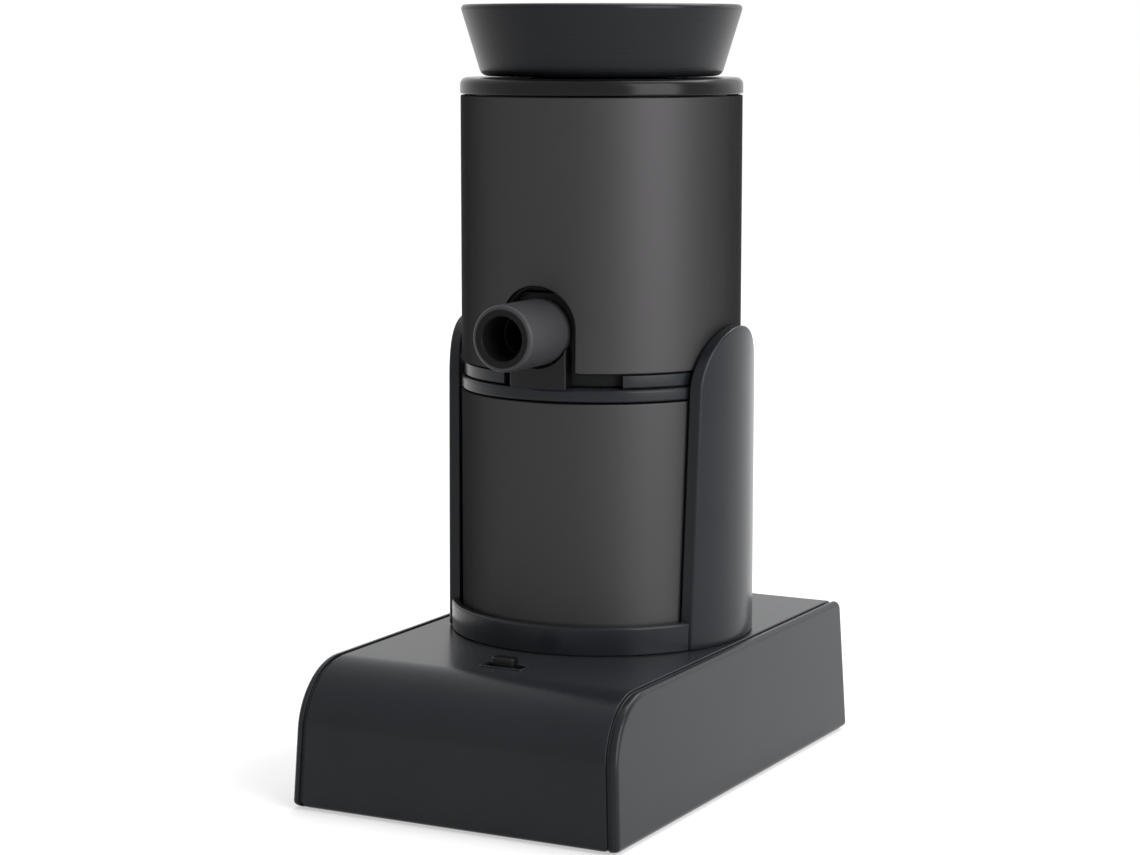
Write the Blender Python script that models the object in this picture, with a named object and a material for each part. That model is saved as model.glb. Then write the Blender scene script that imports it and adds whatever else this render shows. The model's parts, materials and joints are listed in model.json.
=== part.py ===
"""Battery smoke infuser standing in its powered stand, built as separate named pieces.

Units are metres and +Z is up.  The front, with the switch and the hose nozzle, faces -Y.  The origin
lies on the table, under the middle of the stand.
"""
import math

import bmesh
import bpy
import numpy as np

MM = 0.001

# Fits shared by all pieces
CLEARANCE = 0.3 * MM
HANDSET_PLAY = 0.5 * MM
BARREL_PLAY = 0.6 * MM
EMBED = 0.6 * MM
OVERCUT = 2.0 * MM

# Facets round the large, middle and small round pieces
LARGE_FACETS = 48
MIDDLE_FACETS = 28
SMALL_FACETS = 14
CELL_FACETS = 20
ARC_FACETS = 4
SMOOTH_ANGLE = 35.0
FRONT_ANGLE = -90.0
MERGE_DISTANCE = 0.001 * MM

# Stand shell
STAND_WIDTH = 75.2 * MM
STAND_LENGTH = 116.2 * MM
STAND_HEIGHT = 29.5 * MM
STAND_WALL = 2.2 * MM
STAND_DRAFT = 0.047
FRONT_RADIUS = 14.0 * MM
REAR_FILLET = 2.0 * MM
EDGE_ROUND = 0.8 * MM
EDGE_BEAD = 1.4 * MM
EDGE_GROOVE_WIDTH = 1.2 * MM
EDGE_GROOVE_DEPTH = 0.5 * MM
EDGE_GROOVE_LEAN = 0.2 * MM
BODY_OFFSET = 7.6 * MM

# Bottom plate, feet and screws
FOOT_PROUD = 0.5 * MM
PLATE_RECESS = 0.5 * MM
PLATE_THICKNESS = 2.0 * MM
FOOT_RADIUS = 5.0 * MM
FOOT_POCKET = 0.9 * MM
FOOT_ROUND = 1.0 * MM
FOOT_INSET = 9.0 * MM
BOSS_RADIUS = 3.2 * MM
BOSS_INSET = 6.0 * MM
BOSS_FROM_FRONT = 23.5 * MM
SCREW_RADIUS = 1.2 * MM
SCREW_HEAD_RADIUS = 2.4 * MM
SCREW_HEAD_HEIGHT = 1.2 * MM
SCREW_LENGTH = 8.0 * MM
HEAD_CROWN = 0.7
HOOK_WIDTH = 3.0 * MM
HOOK_LENGTH = 1.2 * MM
HOOK_HEIGHT = 1.0 * MM

# Cradle
CRADLE_WALL = 2.5 * MM
CRADLE_FLOOR = 2.0 * MM
CRADLE_LIP = 6.1 * MM
WING_RISE = 67.2 * MM
WING_HALF_FOOT = 15.3 * MM
WING_HALF_TOP = 13.6 * MM
PEG_RADIUS = 2.4 * MM
PEG_CIRCLE = 22.0 * MM
PEG_COUNT = 3
STAKE_RADIUS = 3.6 * MM
STAKE_HEIGHT = 1.2 * MM

# Electrical contacts between stand and handset
STUD_HEAD_RADIUS = 2.2 * MM
STUD_HEAD_HEIGHT = 0.8 * MM
STUD_RADIUS = 1.4 * MM
STUD_TAIL = 1.5 * MM
STUD_CIRCLE = 10.0 * MM
LEAF_THICKNESS = 0.4 * MM
LEAF_WIDTH = 3.0 * MM
LEAF_LENGTH = 7.0 * MM
LEAF_TAIL = 4.0 * MM
CONTACT_WELL_RADIUS = 18.0 * MM

# Cells and battery bay
CELL_RADIUS = 7.25 * MM
CELL_LENGTH = 50.5 * MM
CELL_NUB_RADIUS = 2.7 * MM
CELL_NUB_LENGTH = 1.2 * MM
CELL_ROUND = 0.5 * MM
BORE_PLAY = 0.35 * MM
BAY_RIB = 0.5 * MM
BAY_WALL = 1.4 * MM
CONTACT_THICKNESS = 0.5 * MM
CONTACT_WIDTH = 10.0 * MM
SPRING_LENGTH = 4.0 * MM
SPRING_WIRE = 0.35 * MM
SPRING_WIDE = 4.6 * MM
SPRING_NARROW = 2.2 * MM
SPRING_TURNS = 3
SPRING_POINTS = 9
SPRING_LEAST_GAP = 0.4 * MM

# Battery door and its hinge
SILL_HEIGHT = 2.5 * MM
DOOR_THICKNESS = 2.0 * MM
DOOR_MARGIN = 1.0 * MM
HINGE_PIN_RADIUS = 0.8 * MM
HINGE_LUG_RADIUS = 1.7 * MM
HINGE_LUG_WIDTH = 3.0 * MM
DOOR_TO_BAY = 0.9 * MM

# Slide switch
SWITCH_FROM_FRONT = 20.1 * MM
SLOT_CENTRE = 1.5 * MM
SWITCH_TRAVEL = 3.0 * MM
KNOB_WIDTH = 5.0 * MM
KNOB_DEPTH = 2.8 * MM
KNOB_RISE = 2.0 * MM
BEZEL_FRAME = 0.7 * MM
BEZEL_RISE = 0.3 * MM
SWITCH_BODY_RIM = 1.4 * MM
SWITCH_BODY_HEIGHT = 5.0 * MM
STEM_WIDTH = 2.4 * MM
STEM_DEPTH = 1.4 * MM
STEM_LENGTH = 2.5 * MM

# Handset body
BARREL_RADIUS = 30.0 * MM
SLEEVE_WALL = 1.0 * MM
CHASSIS_WALL = 2.0 * MM
FLOOR_FLANGE = 2.0 * MM
FLOOR_WEB = 2.2 * MM
FLOOR_SPIGOT = 5.0 * MM
LOWER_SLEEVE_LENGTH = 47.5 * MM
MOTOR_PLATE = 2.0 * MM
RING_HEIGHT = 2.6 * MM
RING_BORE_RADIUS = 20.0 * MM

# Motor
MOTOR_RADIUS = 13.85 * MM
MOTOR_LENGTH = 33.0 * MM
MOTOR_WALL = 0.9 * MM
MOTOR_FACE = 1.2 * MM
BUSH_RADIUS = 2.6 * MM
BUSH_LENGTH = 4.5 * MM
SHAFT_RADIUS = 1.15 * MM
MAGNET_WALL = 1.4 * MM
MAGNET_LENGTH = 24.0 * MM
AIR_GAP = 0.5 * MM
ARMATURE_LENGTH = 20.0 * MM
COMMUTATOR_RADIUS = 3.5 * MM
COMMUTATOR_LENGTH = 5.0 * MM
BELL_LENGTH = 3.2 * MM
BELL_PLUG = 2.0 * MM
MOTOR_SCREW_CIRCLE = 8.0 * MM
MOTOR_SCREW_RADIUS = 1.2 * MM
MOTOR_SCREW_HEAD = 2.2 * MM
MOTOR_HOLE_RADIUS = 5.0 * MM

# Fan
NOZZLE_RISE = 11.6 * MM
HOUSING_FLOOR = 1.6 * MM
HOUSING_MARGIN = 1.2 * MM
HOUSING_WALL = 4.0 * MM
SCROLL_GROWTH = 3.4 * MM
SCROLL_POINTS = 28
COVER_THICKNESS = 1.6 * MM
INLET_RADIUS = 10.0 * MM
COVER_PEG_INSET = 2.6 * MM
COVER_PEG_COUNT = 3
COVER_PEG_START = -30.0
COVER_PEG_RADIUS = 1.2 * MM
COVER_PEG_LENGTH = 6.0 * MM
IMPELLER_GAP = 1.6 * MM
IMPELLER_EYE = 9.0 * MM
IMPELLER_PLATE = 1.2 * MM
IMPELLER_HEIGHT = 13.0 * MM
IMPELLER_HUB_RADIUS = 3.6 * MM
IMPELLER_HUB_HEIGHT = 9.0 * MM
BLADE_COUNT = 8
BLADE_THICKNESS = 1.0 * MM
BLADE_SWEEP = 40.0
BLADE_STEPS = 4
FAN_RUNNING_GAP = 1.0 * MM

# Nozzle and its spout
NOZZLE_RADIUS = 6.9 * MM
NOZZLE_BORE_RADIUS = 4.6 * MM
NOZZLE_PROUD = 14.0 * MM
NOZZLE_EDGE = 0.8 * MM
SPOUT_RADIUS = 5.4 * MM
SPOUT_BORE_RADIUS = 4.2 * MM
SPOUT_LENGTH = 8.0 * MM
SPOUT_ROOT = 1.4 * MM
ARCH_GAP = 1.3 * MM
ARCH_LIFT = 0.9 * MM
PAD_HALF_WIDTH = 6.6 * MM
PAD_SETBACK = 0.3 * MM

# Upper barrel
SKIRT_HEIGHT = 2.7 * MM
SKIRT_SETBACK = 0.6 * MM
LINER_WALL = 1.5 * MM
UPPER_SLEEVE_LENGTH = 56.4 * MM
NOTCH_END = 36.0
COLLAR_HEIGHT = 3.4 * MM
COLLAR_OVERHANG = 0.1 * MM
COLLAR_ROUND = 1.5 * MM
COLLAR_SPIGOT = 6.0 * MM
COLLAR_SPIGOT_WALL = 1.7 * MM

# Burn bowl
BOWL_HEIGHT = 15.0 * MM
BOWL_FLARE = 4.6 * MM
BOWL_WALL = 1.7 * MM
BOWL_FLOOR = 1.8 * MM
BOWL_EDGE = 0.4 * MM
STEM_RADIUS = 15.6 * MM
STEM_BORE_RADIUS = 13.0 * MM
STEM_DROP = 10.0 * MM
STEM_PLAY = 0.5 * MM
LEDGE_RADIUS = 10.6 * MM
LEDGE_HEIGHT = 1.4 * MM
SCREEN_THICKNESS = 0.6 * MM
SCREEN_HOLE_RADIUS = 1.1 * MM
SCREEN_PITCH = 4.0 * MM
SEAL_RADIUS = 0.65 * MM
SEAL_HEIGHT = 5.2 * MM

# Leads
LEAD_RADIUS = 0.7 * MM
LEAD_STEP = 3.5 * MM
LEAD_SIDE = 2.5 * MM
LEAD_AHEAD = 3.0 * MM
LEAD_DROP = 6.0 * MM
MOTOR_LEAD_SIDE = 8.0 * MM

# Heights that follow from the sizes above
SHELL_BOTTOM = FOOT_PROUD
DECK_TOP = SHELL_BOTTOM + STAND_HEIGHT
DECK_UNDER = DECK_TOP - STAND_WALL
PLATE_BOTTOM = SHELL_BOTTOM + PLATE_RECESS
PLATE_TOP = PLATE_BOTTOM + PLATE_THICKNESS
CRADLE_BOTTOM = DECK_TOP + CLEARANCE
CRADLE_SEAT = CRADLE_BOTTOM + CRADLE_FLOOR
HANDSET_BOTTOM = CRADLE_SEAT + CLEARANCE
STUD_TOP = CRADLE_SEAT + CLEARANCE + STUD_HEAD_HEIGHT
LEAF_BOTTOM = STUD_TOP + CLEARANCE
WELL_TOP = LEAF_BOTTOM + LEAF_THICKNESS + CLEARANCE
FLOOR_TOP = WELL_TOP + FLOOR_WEB
FLANGE_TOP = HANDSET_BOTTOM + FLOOR_FLANGE
LOWER_SLEEVE_BOTTOM = FLANGE_TOP + CLEARANCE
LOWER_SLEEVE_TOP = LOWER_SLEEVE_BOTTOM + LOWER_SLEEVE_LENGTH
RING_BOTTOM = LOWER_SLEEVE_TOP + CLEARANCE
RING_TOP = RING_BOTTOM + RING_HEIGHT
SKIRT_BOTTOM = RING_TOP + CLEARANCE
SKIRT_TOP = SKIRT_BOTTOM + SKIRT_HEIGHT
SLEEVE_BOTTOM = SKIRT_TOP + CLEARANCE
SLEEVE_TOP = SLEEVE_BOTTOM + UPPER_SLEEVE_LENGTH
COLLAR_BOTTOM = SLEEVE_TOP + CLEARANCE
COLLAR_TOP = COLLAR_BOTTOM + COLLAR_HEIGHT
BOWL_BOTTOM = COLLAR_TOP + CLEARANCE
RIM_TOP = BOWL_BOTTOM + BOWL_HEIGHT
NOZZLE_Z = RING_TOP + NOZZLE_RISE
HOUSING_BOTTOM = RING_TOP + CLEARANCE
HOUSING_TOP = NOZZLE_Z + NOZZLE_RADIUS + HOUSING_MARGIN
COVER_BOTTOM = HOUSING_TOP + CLEARANCE
COVER_TOP = COVER_BOTTOM + COVER_THICKNESS
MOTOR_TOP = LOWER_SLEEVE_TOP - MOTOR_PLATE - CLEARANCE
MOTOR_BOTTOM = MOTOR_TOP - MOTOR_LENGTH
BELL_BOTTOM = MOTOR_BOTTOM - CLEARANCE - BELL_LENGTH
MAGNET_TOP = MOTOR_TOP - MOTOR_FACE - CLEARANCE
MAGNET_BOTTOM = MAGNET_TOP - MAGNET_LENGTH
IMPELLER_BOTTOM = HOUSING_BOTTOM + HOUSING_FLOOR + FAN_RUNNING_GAP

# Radii that follow from the sizes above
SLEEVE_INNER = BARREL_RADIUS - SLEEVE_WALL
CHASSIS_OUTER = SLEEVE_INNER - CLEARANCE
CHASSIS_INNER = CHASSIS_OUTER - CHASSIS_WALL
LINER_INNER = CHASSIS_OUTER - LINER_WALL
HOUSING_RADIUS = LINER_INNER - BARREL_PLAY
CRADLE_INNER = BARREL_RADIUS + HANDSET_PLAY
CRADLE_OUTER = CRADLE_INNER + CRADLE_WALL
SHAFT_BORE = SHAFT_RADIUS + CLEARANCE
MAGNET_OUTER = MOTOR_RADIUS - MOTOR_WALL - CLEARANCE
ARMATURE_RADIUS = MAGNET_OUTER - MAGNET_WALL - AIR_GAP
ARCH_HALF_WIDTH = NOZZLE_RADIUS + ARCH_GAP
ARCH_Z = NOZZLE_Z + ARCH_LIFT
COVER_PEG_CIRCLE = HOUSING_RADIUS - COVER_PEG_INSET
COLLAR_BORE = STEM_RADIUS + STEM_PLAY
BOWL_RIM_RADIUS = BARREL_RADIUS + COLLAR_OVERHANG
BOWL_FOOT_RADIUS = BOWL_RIM_RADIUS - BOWL_FLARE
SCROLL_START = HOUSING_RADIUS - HOUSING_WALL - SCROLL_GROWTH
IMPELLER_RADIUS = SCROLL_START - IMPELLER_GAP

# Places in the stand that follow from the sizes above
BORE_RADIUS = CELL_RADIUS + BORE_PLAY
CELL_PITCH = 2.0 * BORE_RADIUS + BAY_RIB
BAY_BOTTOM = PLATE_TOP + CLEARANCE
BORE_Z = BAY_BOTTOM + BAY_WALL + BORE_RADIUS
BAY_TOP = BORE_Z + BORE_RADIUS + BAY_WALL
BAY_ROOM = STAND_WIDTH - 2.0 * (STAND_WALL + STAND_DRAFT * (BAY_TOP - SHELL_BOTTOM) + BAY_WALL)
CELL_PAIRS = int(BAY_ROOM / (2.0 * CELL_PITCH))
CELL_COUNT = 2 * CELL_PAIRS
DOOR_HALF = 0.5 * (CELL_COUNT - 1) * CELL_PITCH + BORE_RADIUS
BAY_HALF = DOOR_HALF + BAY_WALL
HINGE_BEAD = DOOR_THICKNESS
HINGE_Z = SHELL_BOTTOM + SILL_HEIGHT + CLEARANCE + HINGE_BEAD
HINGE_Y = 0.5 * STAND_LENGTH - STAND_DRAFT * (HINGE_Z - SHELL_BOTTOM) - HINGE_BEAD
DOOR_RISE = BORE_Z + BORE_RADIUS + DOOR_MARGIN - HINGE_Z
BAY_REAR = HINGE_Y - HINGE_BEAD - DOOR_TO_BAY
DOOR_INNER_Y = HINGE_Y - STAND_DRAFT * (BORE_Z - HINGE_Z)
REAR_CONTACT_Y = DOOR_INNER_Y - CLEARANCE - CONTACT_THICKNESS
CELL_SPAN = CELL_LENGTH + SPRING_LENGTH + 2.0 * CLEARANCE
FRONT_CONTACT_Y = REAR_CONTACT_Y - CELL_SPAN
BORE_FRONT = FRONT_CONTACT_Y - CONTACT_THICKNESS - CLEARANCE
BAY_FRONT = BORE_FRONT - BAY_WALL
PLATE_HALF_WIDTH = (
    0.5 * STAND_WIDTH - STAND_WALL - STAND_DRAFT * (PLATE_TOP - SHELL_BOTTOM) - CLEARANCE
)
PLATE_HALF_LENGTH = PLATE_HALF_WIDTH + 0.5 * (STAND_LENGTH - STAND_WIDTH)
BOSS_SIDE = PLATE_HALF_WIDTH - BOSS_INSET
BOSS_FRONT = PLATE_HALF_LENGTH - BOSS_FROM_FRONT
SWITCH_FRONT = 0.5 * STAND_LENGTH - SWITCH_FROM_FRONT
SLOT_LENGTH = KNOB_WIDTH + SWITCH_TRAVEL + 2.0 * CLEARANCE
SLOT_DEPTH = KNOB_DEPTH + 2.0 * CLEARANCE

# Finish of each kind of surface: colour, roughness, metallic
FINISHES = {
    "black_abs": ("2b2d30", 0.45, 0.0),
    "gloss_black_abs": ("1b1b1d", 0.18, 0.0),
    "grey_anodised_aluminium": ("55565a", 0.42, 0.8),
    "black_rubber": ("242426", 0.75, 0.0),
    "black_coated_metal": ("232426", 0.38, 0.5),
    "steel": ("a9abae", 0.30, 1.0),
    "brass": ("b08d4a", 0.32, 1.0),
    "ferrite": ("3a3a3c", 0.60, 0.2),
    "copper_winding": ("a8622f", 0.40, 0.9),
    "cell_jacket": ("3f6b57", 0.35, 0.2),
    "red_lead": ("8c2420", 0.50, 0.0),
    "black_lead": ("1c1c1d", 0.50, 0.0),
}


def remove_scene_objects():
    """Start from an empty scene."""
    for item in list(bpy.data.objects):
        bpy.data.objects.remove(item)


def linear(channel):
    """One sRGB channel, 0 to 1, as linear light."""
    return channel / 12.92 if channel <= 0.04045 else ((channel + 0.055) / 1.055) ** 2.4


def dress(item, finish):
    """Give the object its own material in one of the named finishes."""
    colour, roughness, metallic = FINISHES[finish]
    channels = [linear(int(colour[i:i + 2], 16) / 255.0) for i in (0, 2, 4)]
    material = bpy.data.materials.new(item.name + "_" + finish)
    material.use_nodes = True
    shader = material.node_tree.nodes["Principled BSDF"]
    shader.inputs["Base Color"].default_value = (*channels, 1.0)
    shader.inputs["Roughness"].default_value = roughness
    shader.inputs["Metallic"].default_value = metallic
    item.data.materials.append(material)


def frame(name, location, parent=None):
    """Empty that carries one body and stands on that body's joint axis."""
    empty = bpy.data.objects.new(name, None)
    bpy.context.collection.objects.link(empty)
    empty.location = location
    empty.parent = parent
    return empty


def turned(profile, facets):
    """Solid of revolution about Z from a profile of (radius, height) points.

    A profile that starts and ends on the axis stays open there, any other one closes on itself.
    """
    shape = bmesh.new()
    points = [shape.verts.new((radius, 0.0, height)) for radius, height in profile]
    on_axis = profile[0][0] == 0.0 and profile[-1][0] == 0.0
    following = points[1:] if on_axis else points[1:] + points[:1]
    edges = [shape.edges.new(pair) for pair in zip(points, following)]
    bmesh.ops.spin(
        shape, geom=points + edges, cent=(0, 0, 0), axis=(0, 0, 1), angle=2.0 * math.pi, steps=facets
    )
    bmesh.ops.remove_doubles(shape, verts=shape.verts, dist=MERGE_DISTANCE)
    bmesh.ops.recalc_face_normals(shape, faces=shape.faces)
    return shape


def prism(outline, axis, low, high):
    """Outline of (a, b) points carried along one axis; a and b are the other two axes in order."""
    place = {
        "X": lambda a, b: (low, a, b),
        "Y": lambda a, b: (a, low, b),
        "Z": lambda a, b: (a, b, low),
    }[axis]
    shape = bmesh.new()
    face = shape.faces.new([shape.verts.new(place(a, b)) for a, b in outline])
    carried = bmesh.ops.extrude_face_region(shape, geom=[face])["geom"]
    step = [0.0, 0.0, 0.0]
    step["XYZ".index(axis)] = high - low
    moved = [part for part in carried if isinstance(part, bmesh.types.BMVert)]
    bmesh.ops.translate(shape, verts=moved, vec=step)
    bmesh.ops.recalc_face_normals(shape, faces=shape.faces)
    return shape


def block(low, high):
    """Box between two opposite corners."""
    outline = [(low[0], low[1]), (high[0], low[1]), (high[0], high[1]), (low[0], high[1])]
    return prism(outline, "Z", low[2], high[2])


def rod(radius, axis, low, high, centre, facets=SMALL_FACETS):
    """Round bar along one axis; centre gives its place on the other two axes in order."""
    return prism(arc(centre, radius, 0.0, 360.0, facets)[:-1], axis, low, high)


def arc(centre, radius, start, end, steps):
    """Points on a circle from one angle to another, in degrees, both ends included."""
    angles = np.radians(np.linspace(start, end, steps + 1))
    return [(centre[0] + radius * math.cos(a), centre[1] + radius * math.sin(a)) for a in angles]


def loft(sections):
    """Closed solid through rings of as many points each, with flat ends."""
    shape = bmesh.new()
    rings = [[shape.verts.new(point) for point in section] for section in sections]
    for first, second in zip(rings, rings[1:]):
        for i in range(len(first)):
            j = (i + 1) % len(first)
            shape.faces.new((first[i], first[j], second[j], second[i]))
    shape.faces.new(rings[0])
    shape.faces.new(rings[-1])
    bmesh.ops.recalc_face_normals(shape, faces=shape.faces)
    return shape


def together(*shapes):
    """Several shapes that don't touch, as one tool for a cut or a union."""
    joined = bmesh.new()
    for shape in shapes:
        mesh = to_mesh("tool", shape)
        joined.from_mesh(mesh)
        bpy.data.meshes.remove(mesh)
    return joined


def to_mesh(name, shape):
    """Mesh of a worked shape, which is used up."""
    mesh = bpy.data.meshes.new(name)
    shape.to_mesh(mesh)
    shape.free()
    return mesh


def combine(item, operation, shape):
    """Unite, cut or intersect the object with a shape, and keep the result as its mesh."""
    tool = bpy.data.objects.new("tool", to_mesh("tool", shape))
    bpy.context.collection.objects.link(tool)
    modifier = item.modifiers.new(operation, "BOOLEAN")
    modifier.operation = operation
    modifier.object = tool
    evaluated = item.evaluated_get(bpy.context.evaluated_depsgraph_get())
    mesh = bpy.data.meshes.new_from_object(evaluated)
    item.modifiers.clear()
    spent = item.data
    item.data = mesh
    bpy.data.meshes.remove(spent)
    bpy.data.meshes.remove(tool.data)


def piece(name, shape, finish, parent, steps=(), turn=(0.0, 0.0, 0.0), at=(0.0, 0.0, 0.0)):
    """One named sub-part: its first shape, the unions and cuts in order, its finish and its place."""
    item = bpy.data.objects.new(name, to_mesh(name, shape))
    bpy.context.collection.objects.link(item)
    for operation, tool in steps:
        combine(item, operation, tool)
    item.data.name = name
    item.data.shade_smooth()
    item.data.set_sharp_from_angle(angle=math.radians(SMOOTH_ANGLE))
    dress(item, finish)
    item.location = at
    item.rotation_euler = turn
    item.parent = parent
    return item


def tube(name, points, radius, sides, finish, parent):
    """Round wire along a row of points, closed at both ends."""
    curve = bpy.data.curves.new(name, "CURVE")
    curve.dimensions = "3D"
    curve.bevel_depth = radius
    curve.bevel_resolution = sides // 2 - 2
    curve.use_fill_caps = True
    spline = curve.splines.new("POLY")
    spline.points.add(len(points) - 1)
    for target, point in zip(spline.points, points):
        target.co = (*point, 1.0)
    item = bpy.data.objects.new(name, curve)
    bpy.context.collection.objects.link(item)
    dress(item, finish)
    item.parent = parent
    return item


def screw(head_radius, head_height, radius, length):
    """Round-headed screw with its head's seat at z = 0 and its thread pointing up."""
    return turned(
        [
            (0.0, -head_height), (HEAD_CROWN * head_radius, -head_height), (head_radius, -0.5 * head_height),
            (head_radius, 0.0), (radius, 0.0), (radius, length), (0.0, length),
        ],
        SMALL_FACETS,
    )


def placed(shape, offset):
    """Shape moved to a place."""
    bmesh.ops.translate(shape, vec=offset, verts=shape.verts)
    return shape


def circle_places(radius, count, start):
    """Evenly spaced places on a circle, the first at an angle in degrees."""
    angles = [math.radians(start + 360.0 * i / count) for i in range(count)]
    return [(radius * math.cos(angle), radius * math.sin(angle)) for angle in angles]


def stand_outline(inset, bottom):
    """Side view of the stand, drawn in by an inset: rear foot, rear fillet, rounded front, front foot."""
    top = DECK_TOP - inset
    front_radius = FRONT_RADIUS - inset
    rear_radius = max(REAR_FILLET - inset, CLEARANCE)

    def reach(height):
        return 0.5 * STAND_LENGTH - inset - STAND_DRAFT * (height - SHELL_BOTTOM)

    rear = (reach(top - rear_radius) - rear_radius, top - rear_radius)
    front = (front_radius - reach(top - front_radius), top - front_radius)
    return (
        [(reach(bottom), bottom)]
        + arc(rear, rear_radius, 0.0, 90.0, ARC_FACETS)
        + arc(front, front_radius, 90.0, 180.0, 2 * ARC_FACETS)
        + [(-reach(bottom), bottom)]
    )


def stand_section(side, offset, inset, bottom):
    """The side view at one distance in from a side face, which leans in by the draft."""
    return [
        (side * (0.5 * STAND_WIDTH - offset - STAND_DRAFT * (z - SHELL_BOTTOM)), y, z)
        for y, z in stand_outline(inset, bottom)
    ]


def stand_solid():
    """Outside of the stand, with a rounded edge, a bead and a groove along each side."""
    groove_end = EDGE_BEAD + EDGE_GROOVE_WIDTH
    stations = [
        (0.0, EDGE_ROUND), (0.3 * EDGE_ROUND, 0.3 * EDGE_ROUND), (EDGE_ROUND, 0.0), (EDGE_BEAD, 0.0),
        (EDGE_BEAD + EDGE_GROOVE_LEAN, EDGE_GROOVE_DEPTH),
        (groove_end - EDGE_GROOVE_LEAN, EDGE_GROOVE_DEPTH), (groove_end, 0.0),
    ]
    left = [stand_section(-1.0, offset, inset, SHELL_BOTTOM) for offset, inset in stations]
    right = [stand_section(1.0, offset, inset, SHELL_BOTTOM) for offset, inset in reversed(stations)]
    return loft(left + right)


def stand_cavity():
    """Hollow of the stand, open at its foot."""
    bottom = SHELL_BOTTOM - OVERCUT
    return loft([stand_section(side, STAND_WALL, STAND_WALL, bottom) for side in (-1.0, 1.0)])


def plate_screw_places():
    """Places of the two screws that hold the front of the bottom plate; hooks hold its rear."""
    return [(-BOSS_SIDE, -BOSS_FRONT), (BOSS_SIDE, -BOSS_FRONT)]


def stud_places():
    """Places of the two contact studs, measured from the body axis."""
    return [(0.0, 0.0), (0.0, -STUD_CIRCLE)]


def hook(side, margin):
    """Hook at a rear corner of the bottom plate, or with a margin the pocket that takes it."""
    middle = side * (PLATE_HALF_WIDTH - 0.5 * HOOK_WIDTH - CLEARANCE)
    half = 0.5 * HOOK_WIDTH + margin
    height = 0.5 * (PLATE_BOTTOM + PLATE_TOP)
    return block(
        (middle - half, PLATE_HALF_LENGTH - EMBED - margin, height - 0.5 * HOOK_HEIGHT - margin),
        (middle + half, PLATE_HALF_LENGTH + HOOK_LENGTH + margin, height + 0.5 * HOOK_HEIGHT + margin),
    )


def build_stand_shell(stand):
    """Drafted moulded shell with its deck openings, screw bosses and door opening."""
    bosses = [
        rod(BOSS_RADIUS, "Z", PLATE_TOP + CLEARANCE, DECK_UNDER + EMBED, place)
        for place in plate_screw_places()
    ]
    pilots = [
        rod(SCREW_RADIUS + CLEARANCE, "Z", PLATE_BOTTOM, PLATE_TOP + SCREW_LENGTH, place)
        for place in plate_screw_places()
    ]
    deck_low, deck_high = DECK_UNDER - OVERCUT, DECK_TOP + OVERCUT
    pegs = [
        rod(PEG_RADIUS + CLEARANCE, "Z", deck_low, deck_high, (x, y + BODY_OFFSET))
        for x, y in circle_places(PEG_CIRCLE, PEG_COUNT, 90.0)
    ]
    studs = [
        rod(STUD_RADIUS + CLEARANCE, "Z", deck_low, deck_high, (x, y + BODY_OFFSET))
        for x, y in stud_places()
    ]
    half_slot = 0.5 * SLOT_LENGTH + BEZEL_FRAME + CLEARANCE
    half_depth = 0.5 * SLOT_DEPTH + BEZEL_FRAME + CLEARANCE
    slot = block(
        (SLOT_CENTRE - half_slot, -SWITCH_FRONT - half_depth, deck_low),
        (SLOT_CENTRE + half_slot, -SWITCH_FRONT + half_depth, deck_high),
    )
    door_half = DOOR_HALF + CLEARANCE
    doorway = block(
        (-door_half, HINGE_Y - STAND_WALL - OVERCUT, SHELL_BOTTOM + SILL_HEIGHT),
        (door_half, 0.5 * STAND_LENGTH + OVERCUT, HINGE_Z + DOOR_RISE + CLEARANCE),
    )
    pockets = [hook(side, CLEARANCE) for side in (-1.0, 1.0)]
    piece(
        "stand_shell", stand_solid(), "black_abs", stand,
        [
            ("DIFFERENCE", stand_cavity()),
            ("UNION", together(*bosses)),
            ("DIFFERENCE", together(*pilots)),
            ("DIFFERENCE", together(*pegs, *studs, slot)),
            ("DIFFERENCE", together(doorway, *pockets)),
        ],
    )


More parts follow.
